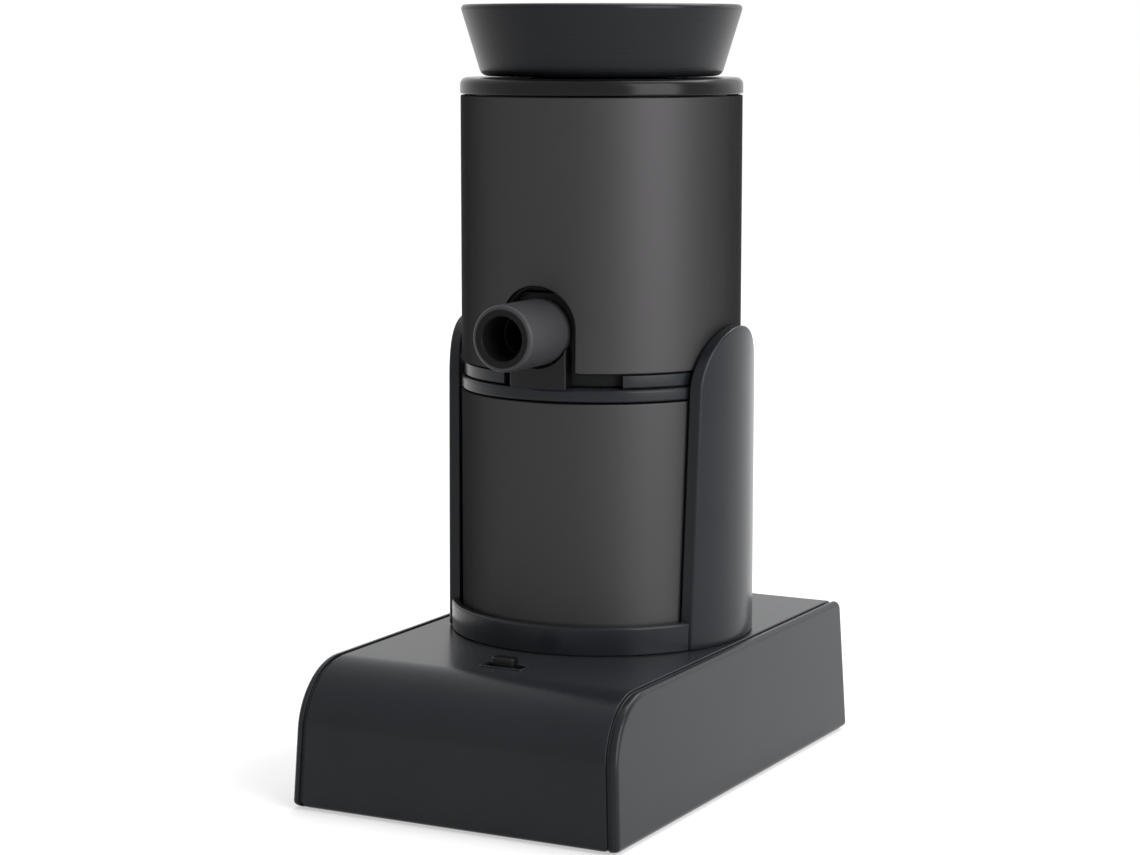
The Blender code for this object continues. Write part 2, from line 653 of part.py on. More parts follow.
def build_bottom_plate(stand):
    """Flat plate that closes the stand, its rubber feet and its screws."""
    half_width, half_length = PLATE_HALF_WIDTH, PLATE_HALF_LENGTH
    foot_places = [
        (name, x * (half_width - FOOT_INSET), y * (half_length - FOOT_INSET))
        for name, x, y in (
            ("foot_front_left", -1, -1), ("foot_front_right", 1, -1),
            ("foot_rear_left", -1, 1), ("foot_rear_right", 1, 1),
        )
    ]
    low = PLATE_BOTTOM - OVERCUT
    pockets = [
        rod(FOOT_RADIUS + CLEARANCE, "Z", low, PLATE_BOTTOM + FOOT_POCKET, (x, y), MIDDLE_FACETS)
        for _, x, y in foot_places
    ]
    head_seat = PLATE_BOTTOM + SCREW_HEAD_HEIGHT + CLEARANCE
    heads = [
        rod(SCREW_HEAD_RADIUS + CLEARANCE, "Z", low, head_seat, place)
        for place in plate_screw_places()
    ]
    shanks = [
        rod(SCREW_RADIUS + CLEARANCE, "Z", low, PLATE_TOP + OVERCUT, place)
        for place in plate_screw_places()
    ]
    piece(
        "bottom_plate",
        block((-half_width, -half_length, PLATE_BOTTOM), (half_width, half_length, PLATE_TOP)),
        "black_abs", stand,
        [
            ("UNION", together(hook(-1.0, 0.0), hook(1.0, 0.0))),
            ("DIFFERENCE", together(*pockets, *heads)),
            ("DIFFERENCE", together(*shanks)),
        ],
    )
    foot_top = PLATE_BOTTOM + FOOT_POCKET - CLEARANCE
    for name, x, y in foot_places:
        profile = [
            (0.0, foot_top), (FOOT_RADIUS, foot_top), (FOOT_RADIUS, FOOT_PROUD),
            (FOOT_RADIUS - FOOT_ROUND, 0.0), (0.0, 0.0),
        ]
        piece(name, turned(profile, MIDDLE_FACETS), "black_rubber", stand, at=(x, y, 0.0))
    for name, (x, y) in zip(("plate_screw_left", "plate_screw_right"), plate_screw_places()):
        shape = screw(SCREW_HEAD_RADIUS, SCREW_HEAD_HEIGHT, SCREW_RADIUS, SCREW_LENGTH - CLEARANCE)
        piece(name, shape, "steel", stand, at=(x, y, head_seat - CLEARANCE))


def build_cradle(seat):
    """Round plinth with two side wings and three staked pegs, and the contact studs in its floor."""
    lip = DECK_TOP + CRADLE_LIP
    wing_top = DECK_TOP + WING_RISE
    beyond = CRADLE_OUTER + OVERCUT
    below = CRADLE_BOTTOM - OVERCUT
    cup = [
        (0.0, CRADLE_BOTTOM), (CRADLE_OUTER, CRADLE_BOTTOM), (CRADLE_OUTER, wing_top),
        (CRADLE_INNER, wing_top), (CRADLE_INNER, CRADLE_SEAT), (0.0, CRADLE_SEAT),
    ]
    side_view = (
        [(-beyond, below), (beyond, below), (beyond, lip), (WING_HALF_FOOT, lip)]
        + arc((0.0, wing_top - WING_HALF_TOP), WING_HALF_TOP, 0.0, 180.0, 4 * ARC_FACETS)
        + [(-WING_HALF_FOOT, lip), (-beyond, lip)]
    )
    stake_top = DECK_UNDER - CLEARANCE
    peg = [
        (0.0, CRADLE_BOTTOM + EMBED), (PEG_RADIUS, CRADLE_BOTTOM + EMBED), (PEG_RADIUS, stake_top),
        (STAKE_RADIUS, stake_top), (HEAD_CROWN * STAKE_RADIUS, stake_top - STAKE_HEIGHT),
        (0.0, stake_top - STAKE_HEIGHT),
    ]
    pegs = [
        placed(turned(peg, SMALL_FACETS), (x, y, 0.0))
        for x, y in circle_places(PEG_CIRCLE, PEG_COUNT, 90.0)
    ]
    stud_holes = [
        rod(STUD_RADIUS + CLEARANCE, "Z", below, CRADLE_SEAT + OVERCUT, place) for place in stud_places()
    ]
    piece(
        "cradle", turned(cup, LARGE_FACETS), "black_abs", seat,
        [
            ("INTERSECT", prism(side_view, "X", -beyond, beyond)),
            ("UNION", together(*pegs)),
            ("DIFFERENCE", together(*stud_holes)),
        ],
    )
    rivet_top = DECK_UNDER - CLEARANCE
    rivet_bottom = rivet_top - STUD_HEAD_HEIGHT
    profile = [
        (0.0, STUD_TOP), (HEAD_CROWN * STUD_HEAD_RADIUS, STUD_TOP),
        (STUD_HEAD_RADIUS, STUD_TOP - 0.5 * STUD_HEAD_HEIGHT),
        (STUD_HEAD_RADIUS, STUD_TOP - STUD_HEAD_HEIGHT), (STUD_RADIUS, STUD_TOP - STUD_HEAD_HEIGHT),
        (STUD_RADIUS, rivet_top), (STUD_HEAD_RADIUS, rivet_top), (STUD_HEAD_RADIUS, rivet_bottom),
        (LEAD_RADIUS, rivet_bottom), (LEAD_RADIUS, rivet_bottom - STUD_TAIL),
        (0.0, rivet_bottom - STUD_TAIL),
    ]
    for name, (x, y) in zip(("contact_stud_centre", "contact_stud_outer"), stud_places()):
        piece(name, turned(profile, SMALL_FACETS), "brass", seat, at=(x, y, 0.0))


def cell_place(index):
    """Side offset of a cell's bore."""
    return (index - 0.5 * (CELL_COUNT - 1)) * CELL_PITCH


def build_battery_bay(stand):
    """Block with one bore for each cell, open at the rear, with the two lugs of the door's hinge."""
    bores = [
        rod(BORE_RADIUS, "Y", BORE_FRONT, BAY_REAR + OVERCUT, (cell_place(i), BORE_Z), MIDDLE_FACETS)
        for i in range(CELL_COUNT)
    ]
    half_contact = 0.5 * CONTACT_WIDTH + CLEARANCE
    bridge_slots = [
        block((cell_place(i), BORE_FRONT, BORE_Z - half_contact),
              (cell_place(i + 1), FRONT_CONTACT_Y + CLEARANCE, BORE_Z + half_contact))
        for i in range(1, CELL_COUNT - 1, 2)
    ]
    lead_holes = [
        rod(LEAD_RADIUS + CLEARANCE, "Y", BAY_FRONT - OVERCUT, BORE_FRONT + OVERCUT, (cell_place(i), BORE_Z))
        for i in (0, CELL_COUNT - 1)
    ]
    lug_places = [cell_place(i + 0.5) for i in range(0, CELL_COUNT, 2)]
    half_lug = 0.5 * HINGE_LUG_WIDTH
    lugs = [
        prism(
            [(BAY_REAR - EMBED, HINGE_Z - HINGE_LUG_RADIUS + EMBED)]
            + arc((HINGE_Y, HINGE_Z), HINGE_LUG_RADIUS, -90.0, 90.0, 2 * ARC_FACETS)
            + [(BAY_REAR - EMBED, HINGE_Z + HINGE_LUG_RADIUS - EMBED)],
            "X", x - half_lug, x + half_lug,
        )
        for x in lug_places
    ]
    pin_hole = rod(
        HINGE_PIN_RADIUS + CLEARANCE, "X", -DOOR_HALF, DOOR_HALF, (HINGE_Y, HINGE_Z)
    )
    piece(
        "battery_bay",
        block((-BAY_HALF, BAY_FRONT, BAY_BOTTOM), (BAY_HALF, BAY_REAR, BAY_TOP)),
        "black_abs", stand,
        [
            ("DIFFERENCE", together(*bores)),
            ("DIFFERENCE", together(*bridge_slots)),
            ("DIFFERENCE", together(*lead_holes)),
            ("UNION", together(*lugs)),
            ("DIFFERENCE", pin_hole),
        ],
    )
    return lug_places


def build_cells(stand):
    """Cells in series: every second one stands the other way round."""
    body = CELL_LENGTH - CELL_NUB_LENGTH
    profile = [
        (0.0, 0.0), (CELL_RADIUS - CELL_ROUND, 0.0), (CELL_RADIUS, CELL_ROUND),
        (CELL_RADIUS, body - CELL_ROUND),
        (CELL_RADIUS - CELL_ROUND, body), (CELL_NUB_RADIUS, body), (CELL_NUB_RADIUS, CELL_LENGTH),
        (0.0, CELL_LENGTH),
    ]
    for i in range(CELL_COUNT):
        nub_forward = i % 2 == 0
        nub_y = FRONT_CONTACT_Y + CLEARANCE if nub_forward else REAR_CONTACT_Y - CLEARANCE
        base_y = nub_y + CELL_LENGTH if nub_forward else nub_y - CELL_LENGTH
        tilt = 0.5 * math.pi if nub_forward else -0.5 * math.pi
        piece(
            "cell_%d" % (i + 1), turned(profile, CELL_FACETS), "cell_jacket", stand,
            turn=(tilt, 0.0, 0.0), at=(cell_place(i), base_y, BORE_Z),
        )


def contact_spring(name, x, wide_y, direction, parent):
    """Conical spring along Y, wide at its plate and narrow at its cell, as one unbroken wire."""
    count = SPRING_TURNS * SPRING_POINTS + 1
    share = np.linspace(0.0, 1.0, count)
    angle = 2.0 * math.pi * SPRING_TURNS * share
    radius = SPRING_WIDE + (SPRING_NARROW - SPRING_WIDE) * share
    run = SPRING_LENGTH - 2.0 * (SPRING_WIRE + CLEARANCE)
    points = np.stack(
        [
            x + radius * np.cos(angle),
            wide_y + direction * (SPRING_WIRE + CLEARANCE + run * share),
            BORE_Z + radius * np.sin(angle),
        ],
        axis=1,
    )
    apart = np.linalg.norm(points[:, None, :] - points[None, :, :], axis=2)
    order = np.arange(count)
    far_along = np.abs(order[:, None] - order[None, :]) > SPRING_POINTS // 2
    least_gap = apart[far_along].min() - 2.0 * SPRING_WIRE
    print("%s: least gap between its turns %.2f mm" % (name, least_gap / MM))
    if least_gap <= SPRING_LEAST_GAP:
        print("%s: turns lie closer than %.2f mm" % (name, SPRING_LEAST_GAP / MM))
    local = points - np.array(parent.location)
    tube(name, [tuple(point) for point in local], SPRING_WIRE, 6, "steel", parent)


def contact_plate(name, low_x, high_x, y, parent):
    """Flat contact plate across one bore or two, its front face at y."""
    half = 0.5 * CONTACT_WIDTH
    shift = parent.location
    piece(
        name,
        block(
            (low_x - half - shift.x, y - shift.y, BORE_Z - half - shift.z),
            (high_x + half - shift.x, y + CONTACT_THICKNESS - shift.y, BORE_Z + half - shift.z),
        ),
        "steel", parent,
    )


def build_cell_contacts(stand, door):
    """Plates and springs that put the cells in series, at the front wall and on the door."""
    front_y = FRONT_CONTACT_Y - CONTACT_THICKNESS
    x = [cell_place(i) for i in range(CELL_COUNT)]
    contact_plate("front_contact_positive", x[0], x[0], front_y, stand)
    contact_plate("front_contact_negative", x[-1], x[-1], front_y, stand)
    for pair in range(1, CELL_PAIRS):
        contact_plate("front_bridge_%d" % pair, x[2 * pair - 1], x[2 * pair], front_y, stand)
    for pair in range(CELL_PAIRS):
        even, odd = x[2 * pair], x[2 * pair + 1]
        contact_plate("door_bridge_%d" % (pair + 1), even, odd, REAR_CONTACT_Y, door)
        contact_spring("front_spring_%d" % (pair + 1), odd, FRONT_CONTACT_Y, 1.0, stand)
        contact_spring("door_spring_%d" % (pair + 1), even, REAR_CONTACT_Y, -1.0, door)


def build_battery_door(stand, door, lug_places):
    """Rear door that lies flush with the drafted shell, with a bead round its hinge pin."""
    lean = STAND_DRAFT * DOOR_RISE
    side_view = (
        arc((0.0, 0.0), HINGE_BEAD, 90.0, 360.0, 3 * ARC_FACETS)
        + [(HINGE_BEAD - lean, DOOR_RISE), (HINGE_BEAD - DOOR_THICKNESS - lean, DOOR_RISE)]
    )
    half_gap = 0.5 * HINGE_LUG_WIDTH + CLEARANCE
    lug_gaps = [
        block((x - half_gap, -2.0 * HINGE_BEAD, -2.0 * HINGE_BEAD),
              (x + half_gap, 2.0 * HINGE_BEAD, HINGE_BEAD + CLEARANCE))
        for x in lug_places
    ]
    bore = rod(
        HINGE_PIN_RADIUS + CLEARANCE, "X", -DOOR_HALF - OVERCUT, DOOR_HALF + OVERCUT, (0.0, 0.0)
    )
    piece(
        "battery_door", prism(side_view, "X", -DOOR_HALF, DOOR_HALF), "black_abs", door,
        [("DIFFERENCE", together(*lug_gaps)), ("DIFFERENCE", bore)],
    )
    pin = rod(HINGE_PIN_RADIUS, "X", -DOOR_HALF, DOOR_HALF, (HINGE_Y, HINGE_Z))
    piece("door_hinge_pin", pin, "steel", stand)


def build_switch(stand, knob):
    """Slide switch: bezel in the deck, body under it, and the knob in mid-slot, which slides to both sides."""
    y = -SWITCH_FRONT
    half_x, half_y = 0.5 * SLOT_LENGTH, 0.5 * SLOT_DEPTH
    outer_x, outer_y = half_x + BEZEL_FRAME, half_y + BEZEL_FRAME
    bezel_slot = block(
        (SLOT_CENTRE - half_x, y - half_y, DECK_UNDER - OVERCUT),
        (SLOT_CENTRE + half_x, y + half_y, DECK_TOP + OVERCUT),
    )
    piece(
        "switch_bezel",
        block((SLOT_CENTRE - outer_x, y - outer_y, DECK_UNDER),
              (SLOT_CENTRE + outer_x, y + outer_y, DECK_TOP + BEZEL_RISE)),
        "gloss_black_abs", stand, [("DIFFERENCE", bezel_slot)],
    )
    body_top = DECK_UNDER - CLEARANCE
    rim_x, rim_y = outer_x + SWITCH_BODY_RIM, outer_y + SWITCH_BODY_RIM
    well_x = 0.5 * (STEM_WIDTH + SWITCH_TRAVEL) + CLEARANCE
    well_y = 0.5 * STEM_DEPTH + CLEARANCE
    well = block(
        (SLOT_CENTRE - well_x, y - well_y, body_top - STEM_LENGTH - CLEARANCE),
        (SLOT_CENTRE + well_x, y + well_y, body_top + OVERCUT),
    )
    piece(
        "switch_body",
        block((SLOT_CENTRE - rim_x, y - rim_y, body_top - SWITCH_BODY_HEIGHT),
              (SLOT_CENTRE + rim_x, y + rim_y, body_top)),
        "black_abs", stand, [("DIFFERENCE", well)],
    )
    base = knob.location.z
    stem = block(
        (-0.5 * STEM_WIDTH, -0.5 * STEM_DEPTH, body_top - STEM_LENGTH - base),
        (0.5 * STEM_WIDTH, 0.5 * STEM_DEPTH, DECK_UNDER + EMBED - base),
    )
    piece(
        "switch_knob",
        block((-0.5 * KNOB_WIDTH, -0.5 * KNOB_DEPTH, DECK_UNDER - base),
              (0.5 * KNOB_WIDTH, 0.5 * KNOB_DEPTH, DECK_TOP + KNOB_RISE - base)),
        "gloss_black_abs", knob, [("UNION", stem)],
    )


def build_lower_handset(handset):
    """Lower sleeve, the chassis in it, and the floor with its contact leaves."""
    piece(
        "lower_sleeve",
        turned(
            [(BARREL_RADIUS, LOWER_SLEEVE_BOTTOM), (BARREL_RADIUS, LOWER_SLEEVE_TOP),
             (SLEEVE_INNER, LOWER_SLEEVE_TOP), (SLEEVE_INNER, LOWER_SLEEVE_BOTTOM)],
            LARGE_FACETS,
        ),
        "grey_anodised_aluminium", handset,
    )
    plate_under = LOWER_SLEEVE_TOP - MOTOR_PLATE
    screw_holes = [
        rod(MOTOR_SCREW_RADIUS + CLEARANCE, "Z", plate_under - OVERCUT, LOWER_SLEEVE_TOP + OVERCUT, place)
        for place in circle_places(MOTOR_SCREW_CIRCLE, 2, 0.0)
    ]
    piece(
        "lower_chassis",
        turned(
            [(CHASSIS_OUTER, LOWER_SLEEVE_BOTTOM), (CHASSIS_OUTER, LOWER_SLEEVE_TOP),
             (MOTOR_HOLE_RADIUS, LOWER_SLEEVE_TOP), (MOTOR_HOLE_RADIUS, plate_under),
             (CHASSIS_INNER, plate_under), (CHASSIS_INNER, LOWER_SLEEVE_BOTTOM)],
            MIDDLE_FACETS,
        ),
        "black_abs", handset, [("DIFFERENCE", together(*screw_holes))],
    )
    spigot = CHASSIS_INNER - CLEARANCE
    spigot_top = FLANGE_TOP + FLOOR_SPIGOT
    slots = [
        block((-0.5 * LEAF_WIDTH - CLEARANCE, y - LEAF_THICKNESS - CLEARANCE, WELL_TOP - OVERCUT),
              (0.5 * LEAF_WIDTH + CLEARANCE, y + CLEARANCE, FLOOR_TOP + OVERCUT))
        for y in leaf_tails()
    ]
    piece(
        "handset_floor",
        turned(
            [(0.0, WELL_TOP), (CONTACT_WELL_RADIUS, WELL_TOP), (CONTACT_WELL_RADIUS, HANDSET_BOTTOM),
             (BARREL_RADIUS, HANDSET_BOTTOM), (BARREL_RADIUS, FLANGE_TOP), (spigot, FLANGE_TOP),
             (spigot, spigot_top), (spigot - CHASSIS_WALL, spigot_top),
             (spigot - CHASSIS_WALL, FLOOR_TOP), (0.0, FLOOR_TOP)],
            MIDDLE_FACETS,
        ),
        "black_abs", handset, [("DIFFERENCE", together(*slots))],
    )
    for name, y in zip(("contact_leaf_centre", "contact_leaf_outer"), leaf_tails()):
        outline = [
            (y, LEAF_BOTTOM), (y, FLOOR_TOP + LEAF_TAIL), (y - LEAF_THICKNESS, FLOOR_TOP + LEAF_TAIL),
            (y - LEAF_THICKNESS, LEAF_BOTTOM + LEAF_THICKNESS),
            (y - LEAF_LENGTH, LEAF_BOTTOM + LEAF_THICKNESS), (y - LEAF_LENGTH, LEAF_BOTTOM),
        ]
        piece(name, prism(outline, "X", -0.5 * LEAF_WIDTH, 0.5 * LEAF_WIDTH), "brass", handset)


def leaf_tails():
    """Where each contact leaf turns up: half its length behind its stud."""
    return [y + 0.5 * LEAF_LENGTH for _, y in stud_places()]


def build_motor(handset, rotor):
    """Brushed motor: can, magnet, bush, end bell, screws, and the shaft with its armature."""
    screw_places = circle_places(MOTOR_SCREW_CIRCLE, 2, 0.0)
    screw_holes = [
        rod(MOTOR_SCREW_RADIUS + CLEARANCE, "Z", MOTOR_TOP - MOTOR_FACE - OVERCUT, MOTOR_TOP + OVERCUT, place)
        for place in screw_places
    ]
    can_inner = MOTOR_RADIUS - MOTOR_WALL
    face_under = MOTOR_TOP - MOTOR_FACE
    bush_hole = BUSH_RADIUS + CLEARANCE
    piece(
        "motor_can",
        turned(
            [(MOTOR_RADIUS, MOTOR_BOTTOM), (MOTOR_RADIUS, MOTOR_TOP), (bush_hole, MOTOR_TOP),
             (bush_hole, face_under), (can_inner, face_under), (can_inner, MOTOR_BOTTOM)],
            MIDDLE_FACETS,
        ),
        "steel", handset, [("DIFFERENCE", together(*screw_holes))],
    )
    magnet_inner = MAGNET_OUTER - MAGNET_WALL
    piece(
        "motor_magnet",
        turned(
            [(MAGNET_OUTER, MAGNET_BOTTOM), (MAGNET_OUTER, MAGNET_TOP - CLEARANCE - SCREW_HEAD_HEIGHT),
             (magnet_inner, MAGNET_TOP - CLEARANCE - SCREW_HEAD_HEIGHT), (magnet_inner, MAGNET_BOTTOM)],
            MIDDLE_FACETS,
        ),
        "ferrite", handset,
    )
    bush_top = LOWER_SLEEVE_TOP
    piece(
        "motor_bush",
        turned(
            [(BUSH_RADIUS, bush_top - BUSH_LENGTH), (BUSH_RADIUS, bush_top),
             (SHAFT_BORE, bush_top), (SHAFT_BORE, bush_top - BUSH_LENGTH)],
            SMALL_FACETS,
        ),
        "brass", handset,
    )
    plug = can_inner - CLEARANCE
    bell_top = MOTOR_BOTTOM - CLEARANCE
    piece(
        "motor_end_bell",
        turned(
            [(MOTOR_RADIUS, BELL_BOTTOM), (MOTOR_RADIUS, bell_top), (plug, bell_top),
             (plug, bell_top + BELL_PLUG), (SHAFT_BORE, bell_top + BELL_PLUG), (SHAFT_BORE, BELL_BOTTOM)],
            MIDDLE_FACETS,
        ),
        "black_abs", handset,
    )
    head_seat = LOWER_SLEEVE_TOP + CLEARANCE
    reach = MOTOR_PLATE + MOTOR_FACE + 2.0 * CLEARANCE
    for name, (x, y) in zip(("motor_screw_right", "motor_screw_left"), screw_places):
        shape = screw(MOTOR_SCREW_HEAD, SCREW_HEAD_HEIGHT, MOTOR_SCREW_RADIUS, reach)
        piece(name, shape, "steel", handset, turn=(math.pi, 0.0, 0.0), at=(x, y, head_seat))
    armature_top = MAGNET_TOP - 2.0 * SCREW_HEAD_HEIGHT
    armature_bottom = armature_top - ARMATURE_LENGTH
    piece(
        "motor_armature",
        turned(
            [(ARMATURE_RADIUS, armature_bottom), (ARMATURE_RADIUS, armature_top),
             (SHAFT_BORE, armature_top), (SHAFT_BORE, armature_bottom - COMMUTATOR_LENGTH),
             (COMMUTATOR_RADIUS, armature_bottom - COMMUTATOR_LENGTH), (COMMUTATOR_RADIUS, armature_bottom)],
            MIDDLE_FACETS,
        ),
        "copper_winding", rotor,
    )
    shaft_top = IMPELLER_BOTTOM + IMPELLER_HUB_HEIGHT
    piece(
        "motor_shaft",
        turned(
            [(0.0, BELL_BOTTOM), (SHAFT_RADIUS, BELL_BOTTOM), (SHAFT_RADIUS, shaft_top), (0.0, shaft_top)],
            SMALL_FACETS,
        ),
        "steel", rotor,
    )


def build_coupling_ring(handset):
    """Black ring at the seam, with the pad that rises to the nozzle."""
    ring = [
        (BARREL_RADIUS, RING_BOTTOM), (BARREL_RADIUS, RING_TOP),
        (RING_BORE_RADIUS, RING_TOP), (RING_BORE_RADIUS, RING_BOTTOM),
    ]
    pad_outer = BARREL_RADIUS - PAD_SETBACK
    pad_inner = HOUSING_RADIUS + CLEARANCE
    width = math.degrees(math.asin(PAD_HALF_WIDTH / pad_outer))
    pad = prism(
        arc((0.0, 0.0), pad_outer, FRONT_ANGLE - width, FRONT_ANGLE + width, ARC_FACETS)
        + arc((0.0, 0.0), pad_inner, FRONT_ANGLE + width, FRONT_ANGLE - width, ARC_FACETS),
        "Z", RING_TOP - EMBED, NOZZLE_Z,
    )
    nozzle_room = rod(
        NOZZLE_RADIUS + CLEARANCE, "Y", -BARREL_RADIUS - OVERCUT, -RING_BORE_RADIUS,
        (0.0, NOZZLE_Z), MIDDLE_FACETS,
    )
    piece(
        "coupling_ring", turned(ring, LARGE_FACETS), "black_abs", handset,
        [("UNION", pad), ("DIFFERENCE", nozzle_room)],
    )


def build_fan(handset, rotor):
    """Scroll housing with its spout, the cover over it, and the impeller."""
    floor_top = HOUSING_BOTTOM + HOUSING_FLOOR
    body = [
        (0.0, HOUSING_BOTTOM), (HOUSING_RADIUS, HOUSING_BOTTOM),
        (HOUSING_RADIUS, HOUSING_TOP), (0.0, HOUSING_TOP),
    ]
    turn = np.linspace(0.0, 1.0, SCROLL_POINTS + 1)
    spiral = [
        ((SCROLL_START + SCROLL_GROWTH * t) * math.cos(2.0 * math.pi * t - 0.5 * math.pi),
         (SCROLL_START + SCROLL_GROWTH * t) * math.sin(2.0 * math.pi * t - 0.5 * math.pi))
        for t in turn
    ]
    spout_end = HOUSING_RADIUS + SPOUT_LENGTH
    spout = rod(
        SPOUT_RADIUS, "Y", -spout_end, -HOUSING_RADIUS + SPOUT_ROOT,
        (0.0, NOZZLE_Z), MIDDLE_FACETS,
    )
    duct = rod(
        SPOUT_BORE_RADIUS, "Y", -spout_end - OVERCUT, -0.5 * SCROLL_START, (0.0, NOZZLE_Z), MIDDLE_FACETS
    )
    shaft_hole = rod(
        IMPELLER_HUB_RADIUS, "Z", HOUSING_BOTTOM - OVERCUT, floor_top + OVERCUT, (0.0, 0.0), MIDDLE_FACETS
    )
    peg_places = circle_places(COVER_PEG_CIRCLE, COVER_PEG_COUNT, COVER_PEG_START)
    peg_bottom = COVER_BOTTOM - COVER_PEG_LENGTH
    sockets = [
        rod(COVER_PEG_RADIUS + CLEARANCE, "Z", peg_bottom - CLEARANCE, HOUSING_TOP + OVERCUT, place)
        for place in peg_places
    ]
    piece(
        "fan_housing", turned(body, MIDDLE_FACETS), "black_abs", handset,
        [
            ("DIFFERENCE", prism(spiral, "Z", floor_top, HOUSING_TOP + OVERCUT)),
            ("UNION", spout),
            ("DIFFERENCE", duct),
            ("DIFFERENCE", together(shaft_hole, *sockets)),
        ],
    )
    pegs = [
        rod(COVER_PEG_RADIUS, "Z", peg_bottom, COVER_BOTTOM + EMBED, place) for place in peg_places
    ]
    piece(
        "fan_cover",
        turned(
            [(HOUSING_RADIUS, COVER_BOTTOM), (HOUSING_RADIUS, COVER_TOP),
             (INLET_RADIUS, COVER_TOP), (INLET_RADIUS, COVER_BOTTOM)],
            MIDDLE_FACETS,
        ),
        "black_abs", handset, [("UNION", together(*pegs))],
    )
    build_impeller(rotor)


def build_impeller(rotor):
    """Open impeller: a back plate and hub with swept blades."""
    plate_top = IMPELLER_BOTTOM + IMPELLER_PLATE
    hub_top = IMPELLER_BOTTOM + IMPELLER_HUB_HEIGHT
    disc = [
        (SHAFT_BORE, IMPELLER_BOTTOM), (IMPELLER_RADIUS, IMPELLER_BOTTOM), (IMPELLER_RADIUS, plate_top),
        (IMPELLER_HUB_RADIUS, plate_top), (IMPELLER_HUB_RADIUS, hub_top), (SHAFT_BORE, hub_top),
    ]
    share = np.linspace(0.0, 1.0, BLADE_STEPS + 1)
    tip = IMPELLER_RADIUS - EMBED
    radius = IMPELLER_EYE + (tip - IMPELLER_EYE) * share
    blades = []
    for i in range(BLADE_COUNT):
        sweep = np.radians(360.0 * i / BLADE_COUNT - BLADE_SWEEP * share)
        half = 0.5 * BLADE_THICKNESS / radius
        front = [(r * math.cos(a), r * math.sin(a)) for r, a in zip(radius, sweep + half)]
        back = [(r * math.cos(a), r * math.sin(a)) for r, a in zip(radius, sweep - half)]
        blades.append(
            prism(
                front + back[::-1], "Z", plate_top - 0.5 * IMPELLER_PLATE,
                IMPELLER_BOTTOM + IMPELLER_HEIGHT,
            )
        )
    piece(
        "impeller", turned(disc, MIDDLE_FACETS), "black_abs", rotor, [("UNION", together(*blades))]
    )


def build_nozzle(nozzle):
    """Rubber hose nozzle that pushes onto the spout; its own axis points out of the front."""
    front = BARREL_RADIUS + NOZZLE_PROUD
    rear = HOUSING_RADIUS + CLEARANCE
    spout_end = HOUSING_RADIUS + SPOUT_LENGTH + CLEARANCE
    socket = SPOUT_RADIUS + CLEARANCE
    profile = [
        (NOZZLE_RADIUS, rear), (NOZZLE_RADIUS, front - NOZZLE_EDGE), (NOZZLE_RADIUS - NOZZLE_EDGE, front),
        (NOZZLE_BORE_RADIUS + 0.5 * NOZZLE_EDGE, front), (NOZZLE_BORE_RADIUS, front - 0.5 * NOZZLE_EDGE),
        (NOZZLE_BORE_RADIUS, spout_end), (socket, spout_end), (socket, rear),
    ]
    piece(
        "nozzle", turned(profile, MIDDLE_FACETS), "black_rubber", nozzle, turn=(0.5 * math.pi, 0.0, 0.0)
    )


def arch_cut(low):
    """Tool for the arch round the nozzle: straight sides up to a half circle, open at the bottom."""
    outline = [(-ARCH_HALF_WIDTH, low), (ARCH_HALF_WIDTH, low)]
    outline += arc((0.0, ARCH_Z), ARCH_HALF_WIDTH, 0.0, 180.0, 4 * ARC_FACETS)
    return prism(outline, "Y", -BARREL_RADIUS - OVERCUT, -RING_BORE_RADIUS)


def build_barrel(barrel):
    """Upper sleeve with its arch, the liner with its notched skirt, and the top collar."""
    piece(
        "barrel_sleeve",
        turned(
            [(BARREL_RADIUS, SLEEVE_BOTTOM), (BARREL_RADIUS, SLEEVE_TOP),
             (SLEEVE_INNER, SLEEVE_TOP), (SLEEVE_INNER, SLEEVE_BOTTOM)],
            LARGE_FACETS,
        ),
        "grey_anodised_aluminium", barrel, [("DIFFERENCE", arch_cut(SLEEVE_BOTTOM - OVERCUT))],
    )
    skirt = BARREL_RADIUS - SKIRT_SETBACK
    start = FRONT_ANGLE - math.degrees(math.asin(ARCH_HALF_WIDTH / skirt))
    end = FRONT_ANGLE + NOTCH_END
    notch = prism(
        arc((0.0, 0.0), skirt + OVERCUT, start, end, 2 * ARC_FACETS)
        + arc((0.0, 0.0), LINER_INNER - OVERCUT, end, start, 2 * ARC_FACETS),
        "Z", SKIRT_BOTTOM - OVERCUT, SKIRT_TOP,
    )
    piece(
        "barrel_liner",
        turned(
            [(skirt, SKIRT_BOTTOM), (skirt, SKIRT_TOP), (CHASSIS_OUTER, SKIRT_TOP),
             (CHASSIS_OUTER, SLEEVE_TOP), (LINER_INNER, SLEEVE_TOP), (LINER_INNER, SKIRT_BOTTOM)],
            LARGE_FACETS,
        ),
        "black_abs", barrel,
        [("DIFFERENCE", notch), ("DIFFERENCE", arch_cut(SKIRT_BOTTOM - OVERCUT))],
    )
    outer = BARREL_RADIUS + COLLAR_OVERHANG
    spigot = LINER_INNER - CLEARANCE
    shoulder = arc((outer - COLLAR_ROUND, COLLAR_TOP - COLLAR_ROUND), COLLAR_ROUND, 0.0, 90.0, ARC_FACETS)
    piece(
        "top_collar",
        turned(
            [(outer, COLLAR_BOTTOM)] + shoulder
            + [(COLLAR_BORE, COLLAR_TOP), (COLLAR_BORE, COLLAR_BOTTOM),
               (spigot - COLLAR_SPIGOT_WALL, COLLAR_BOTTOM),
               (spigot - COLLAR_SPIGOT_WALL, COLLAR_BOTTOM - COLLAR_SPIGOT),
               (spigot, COLLAR_BOTTOM - COLLAR_SPIGOT), (spigot, COLLAR_BOTTOM)],
            LARGE_FACETS,
        ),
        "gloss_black_abs", barrel,
    )


